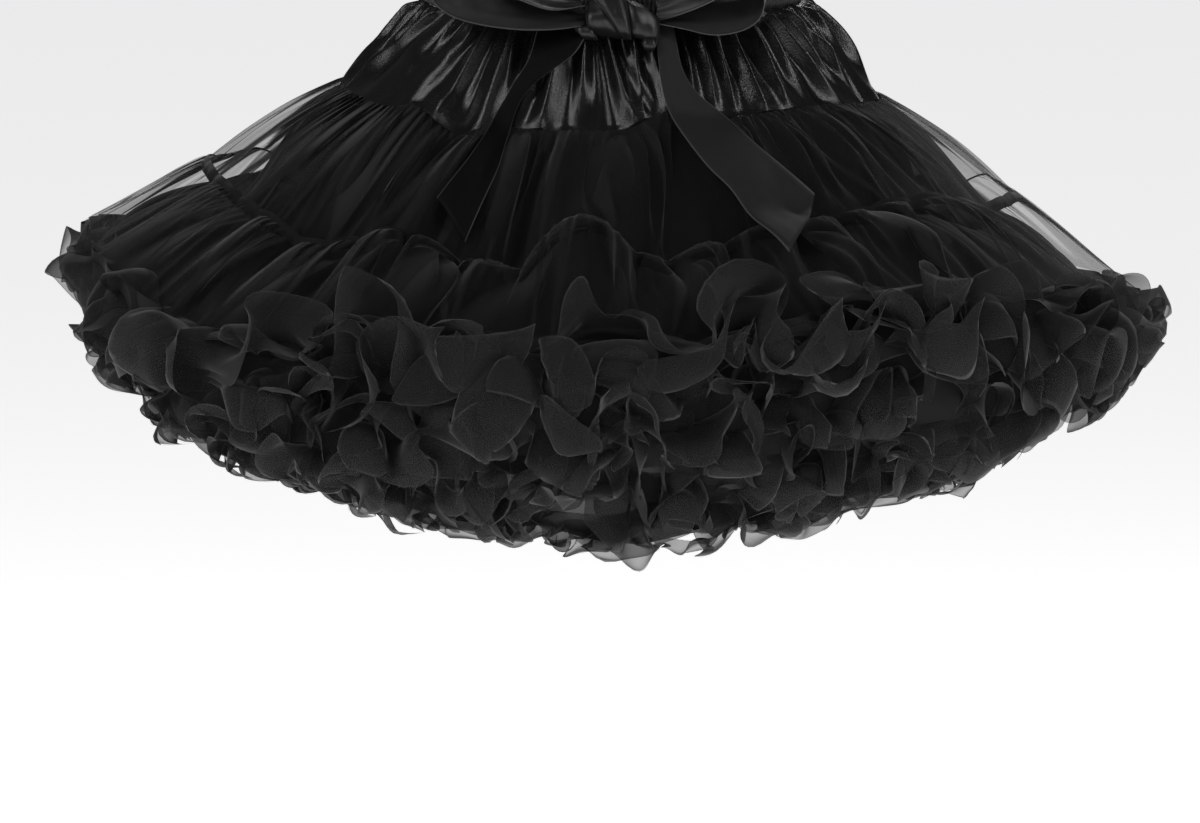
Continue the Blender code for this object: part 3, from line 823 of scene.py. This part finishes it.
# How far the ruffles stand out from a wall's straight line, at shares of the way down it.
ROOM_DOWN = (-0.5, 0.0, 0.3, 0.6, 0.85, 1.15, 1.45, 1.75, 2.0)
ROOM = (26, 36, 40, 35, 23, 5, -26, -50, -80)
FRONT_ROOM = 11.0  # how much further at the front and back
SOFTNESS = 14.0  # how gently the cloth gives way as it nears the limit
SIDE_DROOP = 0.45  # how much lower the ruffles lie at the sides, as a share of their flare
LOWER_BEHIND = 0.35  # how much lower the ruffles lie round the back, as a share of their flare
BEHIND = (95, 115)  # how far round from the front they start to lie lower, and end, in degrees
SIDE_INSET = 16.0  # how much further inside the ruffles are sewn at the sides
SIDE_CLOSING = (0.45, 0.2)  # how much smaller the loops are at the left and right sides
UNEVEN_EDGE = 7.0  # how unevenly the ruffles reach the outline
OUTLINE_TOP = -60.0  # how far from the outline's middle it still presses them


def pressed_to(reach, limit):
    """The reach, pressed softly back to the limit where it comes near."""
    over = np.maximum(reach - limit + SOFTNESS, 0)
    return np.where(over > 0, limit - SOFTNESS + SOFTNESS * np.tanh(over / SOFTNESS), reach)


def kept_within(points, wall, angle, inside=0.0, uneven=0.0, seed=0):
    """The points, with what stands out too far pressed softly back."""
    top, bottom = ring_points(wall.top, angle), ring_points(wall.bottom, angle)
    share = (top[..., 2] - points[..., 2]) / (top[..., 2] - bottom[..., 2])
    line = top + (bottom - top) * np.clip(share, 0, 1)[..., None]
    limit = np.linalg.norm(line[..., :2], axis=-1) + np.interp(share, ROOM_DOWN, ROOM)
    limit = limit + FRONT_ROOM * near_middle(angle, 2) - inside
    reach = np.linalg.norm(points[..., :2], axis=-1)
    points[..., :2] *= (pressed_to(reach, limit) / reach)[..., None]
    outline = np.array(OUTLINE[::-1]) - (0, OUTLINE_MIDDLE)
    across = points[..., 0]
    below = -points[..., 2] - LEVEL_OF_DEPTH * points[..., 1] - OUTLINE_MIDDLE
    turn = np.arctan2(below, across)
    limit = np.interp(turn, np.arctan2(outline[:, 1], outline[:, 0]), np.hypot(*outline.T))
    limit = limit - inside + uneven * (wander(turn, seed, 14, 60) - 0.4)
    reach = np.hypot(across, below)
    shift = (pressed_to(reach, limit) / reach - 1) * (below > OUTLINE_TOP)
    points[..., 0] += across * shift
    points[..., 2] -= below * shift
    return points


def crumpled(points, seed, size, amount):
    """How far a smooth uneven field moves the points."""
    random = np.random.default_rng(seed)
    moved = np.zeros_like(points)
    for _ in range(CRUMPLE_WAVES):
        wave = random.normal(size=3)
        wave *= 2 * math.pi / (size * random.uniform(0.7, 1.6) * np.linalg.norm(wave))
        push = random.normal(size=3) * amount * 0.4
        moved += np.sin(points @ wave + random.uniform(0, 2 * math.pi))[..., None] * push
    return moved


def loop_reader(ruffle, angle):
    """The ruffle's random numbers, a function that spreads a value per loop smoothly round it, and
    the phase of its loops."""
    random = np.random.default_rng(ruffle.seed)
    steps = random.uniform(0.6, 1.4, ruffle.loops)
    centres = 2 * math.pi * np.cumsum(steps) / steps.sum()
    ends = np.append(centres, centres[0] + 2 * math.pi)
    turn = (angle - centres[0]) % (2 * math.pi) + centres[0]
    cell = np.clip(np.searchsorted(ends, turn, side="right") - 1, 0, ruffle.loops - 1)
    share = (turn - ends[cell]) / (ends[cell + 1] - ends[cell])
    eased = share * share * (3 - 2 * share)

    def spread(values):
        values = np.append(values, values[0])
        return values[cell] + (values[cell + 1] - values[cell]) * eased

    return random, spread, 2 * math.pi * (cell + share)


def ruffle_points(ruffle):
    """The strip's points, and how far each is from its free edge."""
    angle, down = mesh_grid(RUFFLE_ROWS, ruffle.loops * RUFFLE_COLUMNS)
    down = 1 - (1 - down) ** 1.25
    sides = near_sides(angle, 6)
    random, spread, phase = loop_reader(ruffle, angle)
    count = ruffle.loops
    centres = np.arange(count) * 2 * math.pi / count
    up = random.uniform(size=count) < ruffle.upturned * near_middle(centres, 2) * 1.5
    size = spread(random.uniform(0.45, 1.4, count))
    upward = random.uniform(*UPTURNED_BEND, count)
    bend = spread(np.where(up, upward, ruffle.curl * random.uniform(0.5, 1.4, count)))
    flare = ruffle.flare + spread(np.where(up, 8, 0) + FLARE_SCATTER * random.normal(size=count))
    flare = flare - SIDE_DROOP * ruffle.flare * sides
    behind = smooth_step(*BEHIND, np.abs(np.degrees(turn_between(angle, 0))))
    flare = flare - LOWER_BEHIND * ruffle.flare * behind
    width = ruffle.width * spread(random.uniform(0.7, 1.2, count)) * (1 - 0.25 * sides)
    lean = spread(LEAN_SCATTER * random.normal(size=count))
    roll = spread(ROLL_SCATTER * random.normal(size=count))
    place = ruffle.place + spread(PLACE_SCATTER * random.normal(size=count))
    start, facing = wall_surface(WALLS[ruffle.wall], angle, np.clip(place, 0, 1))
    if ruffle.wall == "outer_hem":
        above = wall_surface(WALLS["outer_tier_2"], angle, 1 + np.clip(place, -0.25, 0))
        higher = (place < 0)[..., None]
        start, facing = np.where(higher, above[0], start), np.where(higher, above[1], facing)
    start = start + facing * (ruffle.proud - SIDE_INSET * near_sides(angle, 4))[..., None]
    out = from_front(angle)
    loop = np.cos(phase)
    tilt = np.radians(
        flare + 14 * loop * down + bend * down**1.2 + roll * smooth_step(0.55, 1.0, down)
    )
    step = np.diff(down, axis=0, prepend=0) * width
    along = np.cos(tilt)[..., None] * -UP + np.sin(tilt)[..., None] * out
    across = np.sin(tilt)[..., None] * UP + np.cos(tilt)[..., None] * out
    closed = np.where(np.sin(angle) < 0, *SIDE_CLOSING) * sides
    opened = down**0.7 * size * (1 - closed)
    wavelet = 0.12 * np.cos(3 * phase + 2 * wander(angle, ruffle.seed + 6, 5, 40)) * down**1.5
    gathers = 1.2 * np.sin(GATHERS_IN_A_LOOP * phase) * np.exp(-down * 7)
    swing = ruffle.swing * (opened * loop + wavelet) + gathers
    twist = ruffle.spread * opened * np.sin(2 * phase) + lean * down**1.5
    points = start + np.cumsum(step[..., None] * along, axis=0)
    points = points + across * swing[..., None] + np.cross(UP, out) * twist[..., None]
    loose = down[..., None] ** 1.3
    for number, (length, amount) in enumerate(CRUMPLES, 1):
        points = points + loose * crumpled(points, ruffle.seed + number, length, amount)
    points = kept_within(points, WALLS[ruffle.wall], angle, uneven=UNEVEN_EDGE, seed=ruffle.seed)
    for share in (1, 1, *[sides[..., None]] * SOFTER_SIDES):
        beside = np.roll(points, 1, axis=1) - 2 * points + np.roll(points, -1, axis=1)
        points = points + share * beside / 4
    return points, (1 - down) * width


def sew_ruffles(net, rows):
    """Makes pieces of several strips, each given by its name, its node and its flat size, which is
    not used.
    """
    for name, node, flat in rows:
        strips = []
        for ruffle in RUFFLES[name]:
            points, edge = ruffle_points(ruffle)
            strips.append(add_piece(f"{name}_{ruffle.seed}", points, net, edge=edge))
        piece = joined(name, strips)
        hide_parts(node)


# ---------------------------------------------------------------------------------------------
# The bow

RIBBON_ACROSS = 13  # points across a ribbon
RIBBON_WIDTH = 39
WRAP_WIDTH = 24
RIBBON_THICKNESS = 0.7

# The bow's loops, from the knot out along the lower limb and back along the upper one. Each row
# gives a place's x and z, how far in front it is, how far the ribbon's front edge drops, in
# degrees, and the ribbon's width.
LOOP_ROWS = 72
LOOPS = {
    "bow_loop_left": (
        (-20.3, -16, 125, 22, 22), (-40, -14.6, 130, 26, 33), (-66, -13.4, 132, 26, 39),
        (-94, -10.5, 131, 26, 39), (-117, -6.1, 127, 22, 39), (-131, 2, 124, 20, 39),
        (-135, 12, 122, 23, 39), (-124, 20, 123, 28, 39), (-101, 19, 126, 33, 39),
        (-74, 12.5, 129, 35, 38), (-46, 1, 129, 36, 31), (-20.3, -2, 127, 30, 16),
    ),
    "bow_loop_right": (
        (33.3, -16, 125, 20, 20), (53, -15.1, 130, 24, 33), (76, -15.6, 131, 33, 39),
        (97, -12.6, 129, 33, 39), (110, -6, 125, 27, 39), (114, 6, 121, 24, 39),
        (108, 17, 122, 28, 39), (90, 17, 126, 36, 39), (68, 7.8, 129, 42, 37),
        (48, -1, 128, 50, 31), (33.3, -5.5, 127, 60, 26),
    ),
}

# The tails lie on the skirt. Each row gives a place on the left edge and one on the right edge, as
# how far down it is, its angle and how far it stands off the gathers. Down is 0 to 1 on the yoke,
# 1 to 2 on the first tier and 2 to 3 on the second.
TAIL_ROWS = 60
TAILS = {
    "tail_left": (
        (0.05, -19.0, 4, 0.02, -5.4, 3), (0.23, -19.4, 4, 0.17, -5.8, 3),
        (0.35, -19.3, 4, 0.30, -7.0, 3), (0.49, -19.6, 4, 0.43, -8.9, 3),
        (0.60, -20.9, 4, 0.52, -12.4, 2), (0.69, -22.3, 4, 0.60, -15.5, 1),
        (0.82, -23.8, 4, 0.68, -18.2, 0), (0.97, -25.3, 7, 0.82, -20.7, 0),
        (1.18, -24.4, 8, 1.00, -21.6, 0), (1.41, -24.8, 6, 1.35, -19.8, 0),
        (1.58, -26.1, 3, 1.57, -20.2, 0), (1.74, -27.3, 1, 1.90, -21.5, 0),
    ),
    "tail_right": (
        (0.05, 11.6, 1, 0.05, 16.2, 3), (0.27, 11.2, 1, 0.27, 15.7, 3),
        (0.42, 10.8, 1, 0.42, 15.5, 4), (0.60, 10.7, 0, 0.61, 15.6, 4),
        (0.80, 10.9, 0, 0.76, 17.0, 5), (0.99, 11.8, 0, 0.88, 20.0, 5),
        (1.16, 12.6, 0, 0.99, 23.4, 4), (1.40, 14.5, 1, 1.27, 24.6, 3),
        (1.60, 16.7, 3, 1.50, 26.5, 3), (1.83, 18.5, 7, 1.70, 28.0, 5),
        (2.25, 19.3, 11, 1.81, 28.9, 7), (2.60, 20.4, 13, 1.91, 29.7, 9),
    ),
}
TAIL_SINK = {"tail_left": 4.5, "tail_right": 3.4}  # how much nearer the skirt the whole tail lies
TAIL_WALLS = ("yoke", "outer_tier_1", "outer_tier_2")
CREST = 1.45  # the solid's deepest gather beside the average one
CLEAR_OF_CRESTS = 1.4

# The knot is wrapped from short stretches of ribbon. Each row of a wrap gives the x, z and depth of
# its left edge and of its right edge, and how far the middle stands out between them.
WRAP_ROWS = 26
WRAPS = {
    "knot_left_fold": (
        (-16.5, -2.4, 126, -9, 0.4, 130, 1), (-18.8, -9.2, 132, -4.5, -6.3, 136, 2),
        (-19.5, -13.8, 137, -0.8, -12.6, 140, 3), (-18, -19.7, 138, 3.8, -20, 141, 3),
        (-13.5, -25.6, 134, 6.8, -26.4, 139, 2), (-8.3, -29.5, 128, 8.3, -29.4, 134, 1),
    ),
    "knot_front_wrap": (
        (-21, 5.7, 130, 7.5, 5.7, 130, 3), (-14.3, -0.3, 136, 9.8, -1, 136, 4),
        (-7.5, -6.4, 141, 11.3, -7.3, 140, 4), (-1.5, -14.3, 144, 12.4, -14.3, 144, 4),
        (4.5, -23.3, 145, 13.5, -23, 147, 3), (7.9, -29.1, 141, 14.3, -29.6, 143, 1),
    ),
    "knot_right_wrap": (
        (9.8, -2.3, 132, 18, -3.4, 130, 1), (10.9, -6.9, 137, 28.5, -10.7, 132, 4),
        (12, -12.5, 141, 34.6, -16.6, 133, 5), (12.8, -19, 143, 35.3, -23.6, 137, 5),
        (13.9, -24.2, 144, 33.4, -30, 140, 3), (16.5, -27.9, 139, 30.8, -33.5, 137, 0),
    ),
    "knot_curled_end": (
        (23.3, -30, 140, 33.1, -28.5, 140, 2), (22.5, -32.2, 146, 33.4, -31.5, 146, 3),
        (23.7, -35.1, 147, 32.3, -34.9, 149, 2), (25.5, -38.1, 142, 30.1, -38.6, 144, 1),
    ),
    "knot_left_tuck": (
        (-27, -20.8, 130, -13.5, -19, 132, 1), (-27.8, -23.3, 134, -13.5, -22.9, 137, 3),
        (-24, -26.8, 136, -12, -27.2, 139, 3), (-18, -30.4, 132, -10.5, -30.6, 136, 1),
    ),
}


def ribbon_facing(points):
    return unit(np.cross(np.gradient(points, axis=0), np.gradient(points, axis=1)))


def between_edges(left, right):
    """Rows of values from a ribbon's left edge to its right edge."""
    share = np.linspace(0, 1, RIBBON_ACROSS)
    return left[:, None] + (right - left)[:, None] * share[:, None]


def loop_points(name):
    """A loop of ribbon, gathered where it enters the knot."""
    x, z, depth, drop, width = smoothed(LOOPS[name], LOOP_ROWS).T
    drop = np.radians(drop)
    to_front = np.stack([np.zeros_like(drop), -np.cos(drop), -np.sin(drop)], -1)
    centre = np.stack([x, -depth, z], -1)
    share = np.linspace(-0.5, 0.5, RIBBON_ACROSS)
    points = centre[:, None] + to_front[:, None] * (share[None, :, None] * width[:, None, None])
    along = np.linspace(0, 1, LOOP_ROWS)[:, None]
    pinch = np.exp(-along * 12) + np.exp(-(1 - along) * 12)
    crown = 1.2 * np.cos(math.pi * share)
    pleats = 1.6 * pinch * np.cos(5 * math.pi * share + 0.6)
    return points + ribbon_facing(points) * (crown + pleats)[..., None]


def on_gathers(down, angle, lift):
    """A point just clear of the crests of the skirt's gathers."""
    number = min(int(down), 2)
    wall = WALLS[TAIL_WALLS[number]]
    share = down - number
    smooth, facing = wall_surface(wall, np.array([math.radians(angle)]), np.array([share]))
    folds = wall.folds * math.sin(math.pi * share)
    gathers = wall.top_gathers * (1 - share) + wall.bottom_gathers * share
    return (smooth + facing * (CREST * (folds + gathers) + (CLEAR_OF_CRESTS + lift)))[0]


def tail_points(name):
    rows = smoothed(TAILS[name], TAIL_ROWS)
    places = between_edges(rows[:, :3], rows[:, 3:])
    places[..., 2] -= TAIL_SINK[name]
    points = np.array([[on_gathers(*place) for place in row] for row in places])
    for _ in range(6):
        points[1:-1] = (points[:-2] + 2 * points[1:-1] + points[2:]) / 4
    return points


def wrap_points(name):
    rows = smoothed(WRAPS[name], WRAP_ROWS)
    left, right = rows[:, (0, 2, 1)] * (1, -1, 1), rows[:, (3, 5, 4)] * (1, -1, 1)
    points = between_edges(left, right)
    facing = ribbon_facing(points)
    share = np.linspace(0, 1, RIBBON_ACROSS)
    crown = rows[:, 6:] * (1 - (2 * share - 1) ** 4) + 0.2 * np.sin(3 * math.pi * share)
    return points - facing * crown[..., None] * np.sign(facing[..., 1:2])


def add_ribbon(name, points, face, back=None, width=RIBBON_WIDTH):
    """A stretch of ribbon with its selvedges."""
    share = np.linspace(0, 1, RIBBON_ACROSS)
    to_selvedge = np.minimum(share, 1 - share) * width * np.ones((len(points), 1))
    return add_piece(
        name, points, face, closed=False, edge=to_selvedge,
        thickness=RIBBON_THICKNESS, back=back,
    )


# ---------------------------------------------------------------------------------------------
# Settings

class PetticoatSizes(bpy.types.PropertyGroup):
    band_gathers: bpy.props.IntProperty(
        name="Band gathers", description="Fine gathers round the elastic band", default=260, min=20
    )
    binding_width: bpy.props.FloatProperty(
        name="Binding width", description="Width of the binding on the seam between the tiers",
        default=0.010, unit="LENGTH",
    )
    net_cover: bpy.props.FloatProperty(
        name="Net cover",
        description="Share of the light that one layer of the tiers' net stops",
        default=0.17, subtype="FACTOR", min=0.0, max=1.0,
    )
    ruffle_cover: bpy.props.FloatProperty(
        name="Ruffle cover",
        description="Share of the light that one layer of the ruffles' net stops",
        default=0.60, subtype="FACTOR", min=0.0, max=1.0,
    )
    floor_drop: bpy.props.FloatProperty(
        name="Floor drop", description="How far the floor is below the waist", default=1.0,
        unit="LENGTH",
    )
    camera_distance: bpy.props.FloatProperty(
        name="Camera distance", description="How far the camera is from the skirt", default=20.0,
        unit="LENGTH",
    )


def colour(name, description, value):
    return bpy.props.FloatVectorProperty(
        name=name, description=description, default=value, subtype="COLOR", size=3, min=0.0, max=1.0
    )


class PetticoatColours(bpy.types.PropertyGroup):
    satin: colour("Satin", "Colour of the satin yoke", (0.010, 0.0095, 0.009))
    net: colour("Net", "Colour of the net", (0.011, 0.011, 0.0115))
    thread: colour("Net threads", "Colour of the net's threads", (0.05, 0.05, 0.052))
    # The ruffles' rims are denser overlocked edges; their lighter colour is a painted highlight
    # along them.
    rim_highlight: colour("Ruffle rims", "Colour of the ruffles' overlocked rims", (0.12, 0.115, 0.11))
    ribbon: colour("Ribbon", "Colour of the ribbon", (0.020, 0.020, 0.021))
    selvedge: colour("Selvedge", "Colour of the ribbon's woven edges", (0.07, 0.07, 0.07))
    floor: colour("Floor", "Colour of the floor", (0.86, 0.86, 0.87))


# ---------------------------------------------------------------------------------------------
# Operators

class PieceOperator:
    bl_options = {"REGISTER", "UNDO"}

    @staticmethod
    def settings(context):
        return context.scene.petticoat_sizes, context.scene.petticoat_colours


class PETTICOAT_OT_waistband(PieceOperator, bpy.types.Operator):
    """Make the shirred elastic waistband"""
    bl_idname = "petticoat.waistband"
    bl_label = "Waistband"

    def execute(self, context):
        sizes, colours = self.settings(context)
        band = add_piece("shirred_waistband", shirred_band(sizes), band_finish(colours))
        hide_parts("waistband")
        return {"FINISHED"}


class PETTICOAT_OT_yoke(PieceOperator, bpy.types.Operator):
    """Make the two gathered satin panels of the yoke"""
    bl_idname = "petticoat.yoke"
    bl_label = "Satin yoke"

    def execute(self, context):
        satin = satin_finish(self.settings(context)[1])
        back_folds = scattered_creases(31, 38, 4.6, 6.5, 0.05, 1.2, 4.0, 70, 278)
        for node, first, last, columns, folds, length in (
            ("yoke_front", -80, 68, 560, FRONT_FOLDS, 0.56),
            ("yoke_back", 68, 280, 680, back_folds, 0.74),
        ):
            points = satin_panel(first, last, columns, folds)
            panel = add_piece(f"{node}_satin", points, satin, closed=False)
            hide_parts(node)
        return {"FINISHED"}


TIER_DEPTH = 135  # from the second tier's seam to its lower edge
# The inner layer's top edge is turned up inside the yoke, and its lower edge is sewn to the next.
TURN_UP = 14.0
TURNED_IN = (0.915, 0.915, 1.0)


class PETTICOAT_OT_tiers(PieceOperator, bpy.types.Operator):
    """Make the two net tiers of the outer skirt and the binding on the seam between them"""
    bl_idname = "petticoat.tiers"
    bl_label = "Net tiers"

    def execute(self, context):
        sizes, colours = self.settings(context)
        # The tier net is painted darker, as painted shade, and the second tier's edge at the seam
        # gets a painted highlight.
        net = net_finish("tier net", colours, sizes.net_cover, tone=0.65, rim_highlight=0.25, rim_width=0.0012)
        name = "outer_tier_1_net"
        first = add_piece(name, net_points(name), net, folded=pleat_share(name))
        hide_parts("outer_tier_1")
        name = "outer_tier_2_net"
        from_seam = mesh_grid(NETS[name].rows, NETS[name].columns)[1] * TIER_DEPTH
        second = add_piece(
            name, net_points(name), net, edge=from_seam, folded=pleat_share(name)
        )
        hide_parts("outer_tier_2")
        self.make_inner_layers(colours)
        # The binding's net is painted darker still, as painted shade.
        binding = add_piece(
            "tier_seam_binding", binding_points(sizes.binding_width / MM),
            net_finish("seam binding", colours, 0.97, tone=0.5),
        )
        return {"FINISHED"}

    @staticmethod
    def make_inner_layers(colours):
        # The inner layers' net is painted darker, as painted shade.
        net = net_finish("inner net", colours, 0.70, tone=0.6)
        upper, lower = net_points("outer_tier_1_inner_layer"), net_points("outer_tier_2_inner_layer")
        turned_in = upper[:1] * TURNED_IN + TURN_UP * UP
        upper = np.concatenate([turned_in, upper, lower[:1]])
        for name, points, flat in (
            ("outer_tier_1_inner_layer", upper, (0.14, 1.7)),
            ("outer_tier_2_inner_layer", lower, (0.135, 2.2)),
        ):
            layer = add_piece(name, points, net)


class PETTICOAT_OT_ruffles(PieceOperator, bpy.types.Operator):
    """Make the outer skirt's ruffles"""
    bl_idname = "petticoat.ruffles"
    bl_label = "Outer ruffles"

    def execute(self, context):
        sizes, colours = self.settings(context)
        # The ruffles' net is painted lighter, as painted light, with a painted highlight on its
        # rims.
        net = net_finish("ruffle net", colours, sizes.ruffle_cover, tone=1.45, rim_highlight=0.28)
        sew_ruffles(net, (
            ("upper_ruffles", "outer_ruffle_upper", (0.334, 3.2)),
            ("hem_ruffles", "outer_ruffle_hem", (0.188, 3.5)),
        ))
        return {"FINISHED"}


class PETTICOAT_OT_under_skirt(PieceOperator, bpy.types.Operator):
    """Make the under skirt's two tiers, its ruffles and the plain nets behind all the ruffles"""
    bl_idname = "petticoat.under_skirt"
    bl_label = "Under skirt"

    def execute(self, context):
        sizes, colours = self.settings(context)
        # The under tiers' net is painted darker, as painted shade.
        dense = net_finish("under net", colours, 0.93, tone=0.8)
        for node, flat in (("under_tier_1", (0.12, 1.7)), ("under_tier_2", (0.12, 2.2))):
            tier = add_piece(f"{node}_net", net_points(f"{node}_net"), dense)
            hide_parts(node)
        # The base net is painted lighter, as painted light, so the shaded gaps under the ruffles are
        # not black.
        base = net_finish("base net", colours, 0.93, tone=1.2)
        for wall, seed, flat in (("outer_hem", 151, (0.10, 2.4)), ("under_hem", 161, (0.085, 2.1))):
            backing = add_piece(f"{wall}_base", backing_points(wall, seed), base)
        # The under ruffles' net is painted lighter, as painted light, with a painted highlight on
        # its rims.
        net = net_finish("under ruffle net", colours, sizes.ruffle_cover, tone=1.65, rim_highlight=0.36)
        sew_ruffles(net, (
            ("under_upper_ruffles", "under_ruffle_upper", (0.150, 3.1)),
            ("under_hem_ruffles", "under_ruffle_hem", (0.112, 2.7)),
        ))
        return {"FINISHED"}


class PETTICOAT_OT_bow(PieceOperator, bpy.types.Operator):
    """Make the ribbon bow: two loops, two tails and the wrapped knot"""
    bl_idname = "petticoat.bow"
    bl_label = "Ribbon bow"

    def execute(self, context):
        _, colours = self.settings(context)
        dull = ribbon_finish("ribbon dull face", colours, 0.85, 0.75, 0.25)
        shiny = ribbon_finish("ribbon satin face", colours, 0.5, 0.32, 0.5)
        shaded = ribbon_finish("ribbon shaded face", colours, 0.06, 0.6, 0.12)
        for node, inside, outside in (
            ("bow_loop_left", dull, shiny),
            ("bow_loop_right", shiny, dull),
        ):
            loop = add_ribbon(f"{node}_ribbon", loop_points(node), inside, back=outside)
            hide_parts(node)
        for node, face, length in (("tail_left", shaded, 0.15), ("tail_right", dull, 0.21)):
            tail = add_ribbon(f"{node}_ribbon", tail_points(node), face)
            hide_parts(node)
        wraps = [add_ribbon(name, wrap_points(name), shiny, width=WRAP_WIDTH) for name in WRAPS]
        knot = joined("knot_wraps", wraps)
        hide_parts("bow_knot")
        return {"FINISHED"}


Light = namedtuple("Light", "name place size power")
LIGHTS = (
    Light("front left softbox", (-2.6, -1.6, 2.6), (0.3, 2.0), 27),
    Light("front right softbox", (2.6, -1.6, 2.6), (0.3, 2.0), 28),
    Light("low front softbox", (0.0, -4.0, 0.2), (2.4, 1.0), 15),
    Light("left softbox", (-3.0, -1.4, 1.0), (0.5, 1.6), 13),
    Light("right softbox", (3.0, -1.4, 1.0), (0.5, 1.6), 13),
    Light("back softbox", (0.5, 2.8, 2.2), (1.3, 0.6), 28),
)
LIGHTS_AIM = (0, 0, -0.2)
VIEW_RISE = 8.0  # the camera's height above the horizon, in degrees
VIEW_CENTRE = (-0.009, 0.0, -0.331)
VIEW_WIDTH = 0.906  # how wide the view is at the skirt, in metres
SENSOR_WIDTH = 36.0
FLOOR_RADIUS = 55.0
FLOOR_SIDES = 96
# The floor glows: painted light, brightest near the skirt and a little dimmer further out, as
# lamplight falls off.
FAR_FLOOR = (3.0, 9.0)  # how far out the floor's glow starts to fade to its far glow, and ends
NEAR_GLOW = (0.80, 0.80, 0.80)
FAR_GLOW = (0.74, 0.74, 0.75)
SKY_LIGHT = (0.07, 0.07, 0.07)
SKY_SEEN = (0.82, 0.82, 0.83)


def aimed(direction):
    """The turn that points a light or a camera along a direction."""
    return direction.to_track_quat("-Z", "Y").to_euler()


class PETTICOAT_OT_stage(PieceOperator, bpy.types.Operator):
    """Make the floor, the lights and the camera"""
    bl_idname = "petticoat.stage"
    bl_label = "Stage"

    def execute(self, context):
        sizes, colours = self.settings(context)
        self.make_floor(sizes, colours)
        for light in LIGHTS:
            lamp = bpy.data.lights.new(light.name, "AREA")
            lamp.shape = "RECTANGLE"
            lamp.size, lamp.size_y = light.size
            lamp.energy = light.power
            stand = bpy.data.objects.new(light.name, lamp)
            stand.location = light.place
            stand.rotation_euler = aimed(Vector(LIGHTS_AIM) - Vector(light.place))
            stand.visible_camera = False
            context.collection.objects.link(stand)
        self.make_world(context)
        rise = math.radians(VIEW_RISE)
        lens = bpy.data.cameras.new("camera")
        lens.sensor_width = SENSOR_WIDTH
        lens.lens = SENSOR_WIDTH * sizes.camera_distance / VIEW_WIDTH
        lens.clip_end = 10 * sizes.camera_distance
        camera = bpy.data.objects.new("camera", lens)
        back = Vector((0, -math.cos(rise), math.sin(rise)))
        camera.location = Vector(VIEW_CENTRE) + back * sizes.camera_distance
        camera.rotation_euler = aimed(-back)
        context.collection.objects.link(camera)
        context.scene.camera = camera
        context.scene.view_settings.view_transform = "Standard"
        return {"FINISHED"}

    @staticmethod
    def make_floor(sizes, colours):
        mesh = bpy.data.meshes.new("floor")
        turns = np.linspace(0, 2 * math.pi, FLOOR_SIDES, endpoint=False)
        ring = [(FLOOR_RADIUS * math.cos(t), FLOOR_RADIUS * math.sin(t), 0.0) for t in turns]
        mesh.from_pydata(ring, [], [tuple(range(FLOOR_SIDES))])
        floor = bpy.data.objects.new("floor", mesh)
        floor.location.z = -sizes.floor_drop
        bpy.context.collection.objects.link(floor)
        material, tree, shader = new_material(
            "pale floor", Base_Color=colours.floor, Roughness=0.9, Emission_Strength=1.0
        )
        distance = new_node(tree, "VectorMath")
        distance.operation = "LENGTH"
        feed(tree, distance.inputs[0], new_node(tree, "TexCoord").outputs["Object"])
        far = map_range(tree, distance.outputs["Value"], *FAR_FLOOR, 0.0, 1.0)
        feed_all(tree, shader, Emission_Color=blended_colour(tree, far, NEAR_GLOW, FAR_GLOW))
        mesh.materials.append(material)

    @staticmethod
    def make_world(context):
        world = bpy.data.worlds.new("studio")
        world.use_nodes = True
        context.scene.world = world
        tree = world.node_tree
        sight = new_node(tree, "LightPath").outputs["Is Camera Ray"]
        sky = blended_colour(tree, sight, SKY_LIGHT, SKY_SEEN)
        feed_all(tree, tree.nodes["Background"], Color=sky)


class PETTICOAT_PT_panel(bpy.types.Panel):
    """Lists the skirt's settings and the steps that make it"""
    bl_label = "Net Petticoat Skirt"
    bl_idname = "PETTICOAT_PT_panel"
    bl_space_type = "VIEW_3D"
    bl_region_type = "UI"
    bl_category = "Petticoat"

    def draw(self, context):
        layout = self.layout
        for group in (context.scene.petticoat_sizes, context.scene.petticoat_colours):
            box = layout.box()
            for name in group.bl_rna.properties.keys():
                if name not in ("rna_type", "name"):
                    box.prop(group, name)
        for step in STEPS:
            layout.operator(step.bl_idname)


STEPS = (
    PETTICOAT_OT_stage,
    PETTICOAT_OT_waistband,
    PETTICOAT_OT_yoke,
    PETTICOAT_OT_tiers,
    PETTICOAT_OT_under_skirt,
    PETTICOAT_OT_ruffles,
    PETTICOAT_OT_bow,
)
CLASSES = (PetticoatSizes, PetticoatColours, *STEPS, PETTICOAT_PT_panel)


def register():
    for each in CLASSES:
        bpy.utils.register_class(each)
    bpy.types.Scene.petticoat_sizes = bpy.props.PointerProperty(type=PetticoatSizes)
    bpy.types.Scene.petticoat_colours = bpy.props.PointerProperty(type=PetticoatColours)


def unregister():
    del bpy.types.Scene.petticoat_colours
    del bpy.types.Scene.petticoat_sizes
    for each in reversed(CLASSES):
        bpy.utils.unregister_class(each)


def main():
    register()
    for step in STEPS:
        getattr(bpy.ops.petticoat, step.bl_idname.split(".")[1])()


if __name__ == "__main__":
    main()
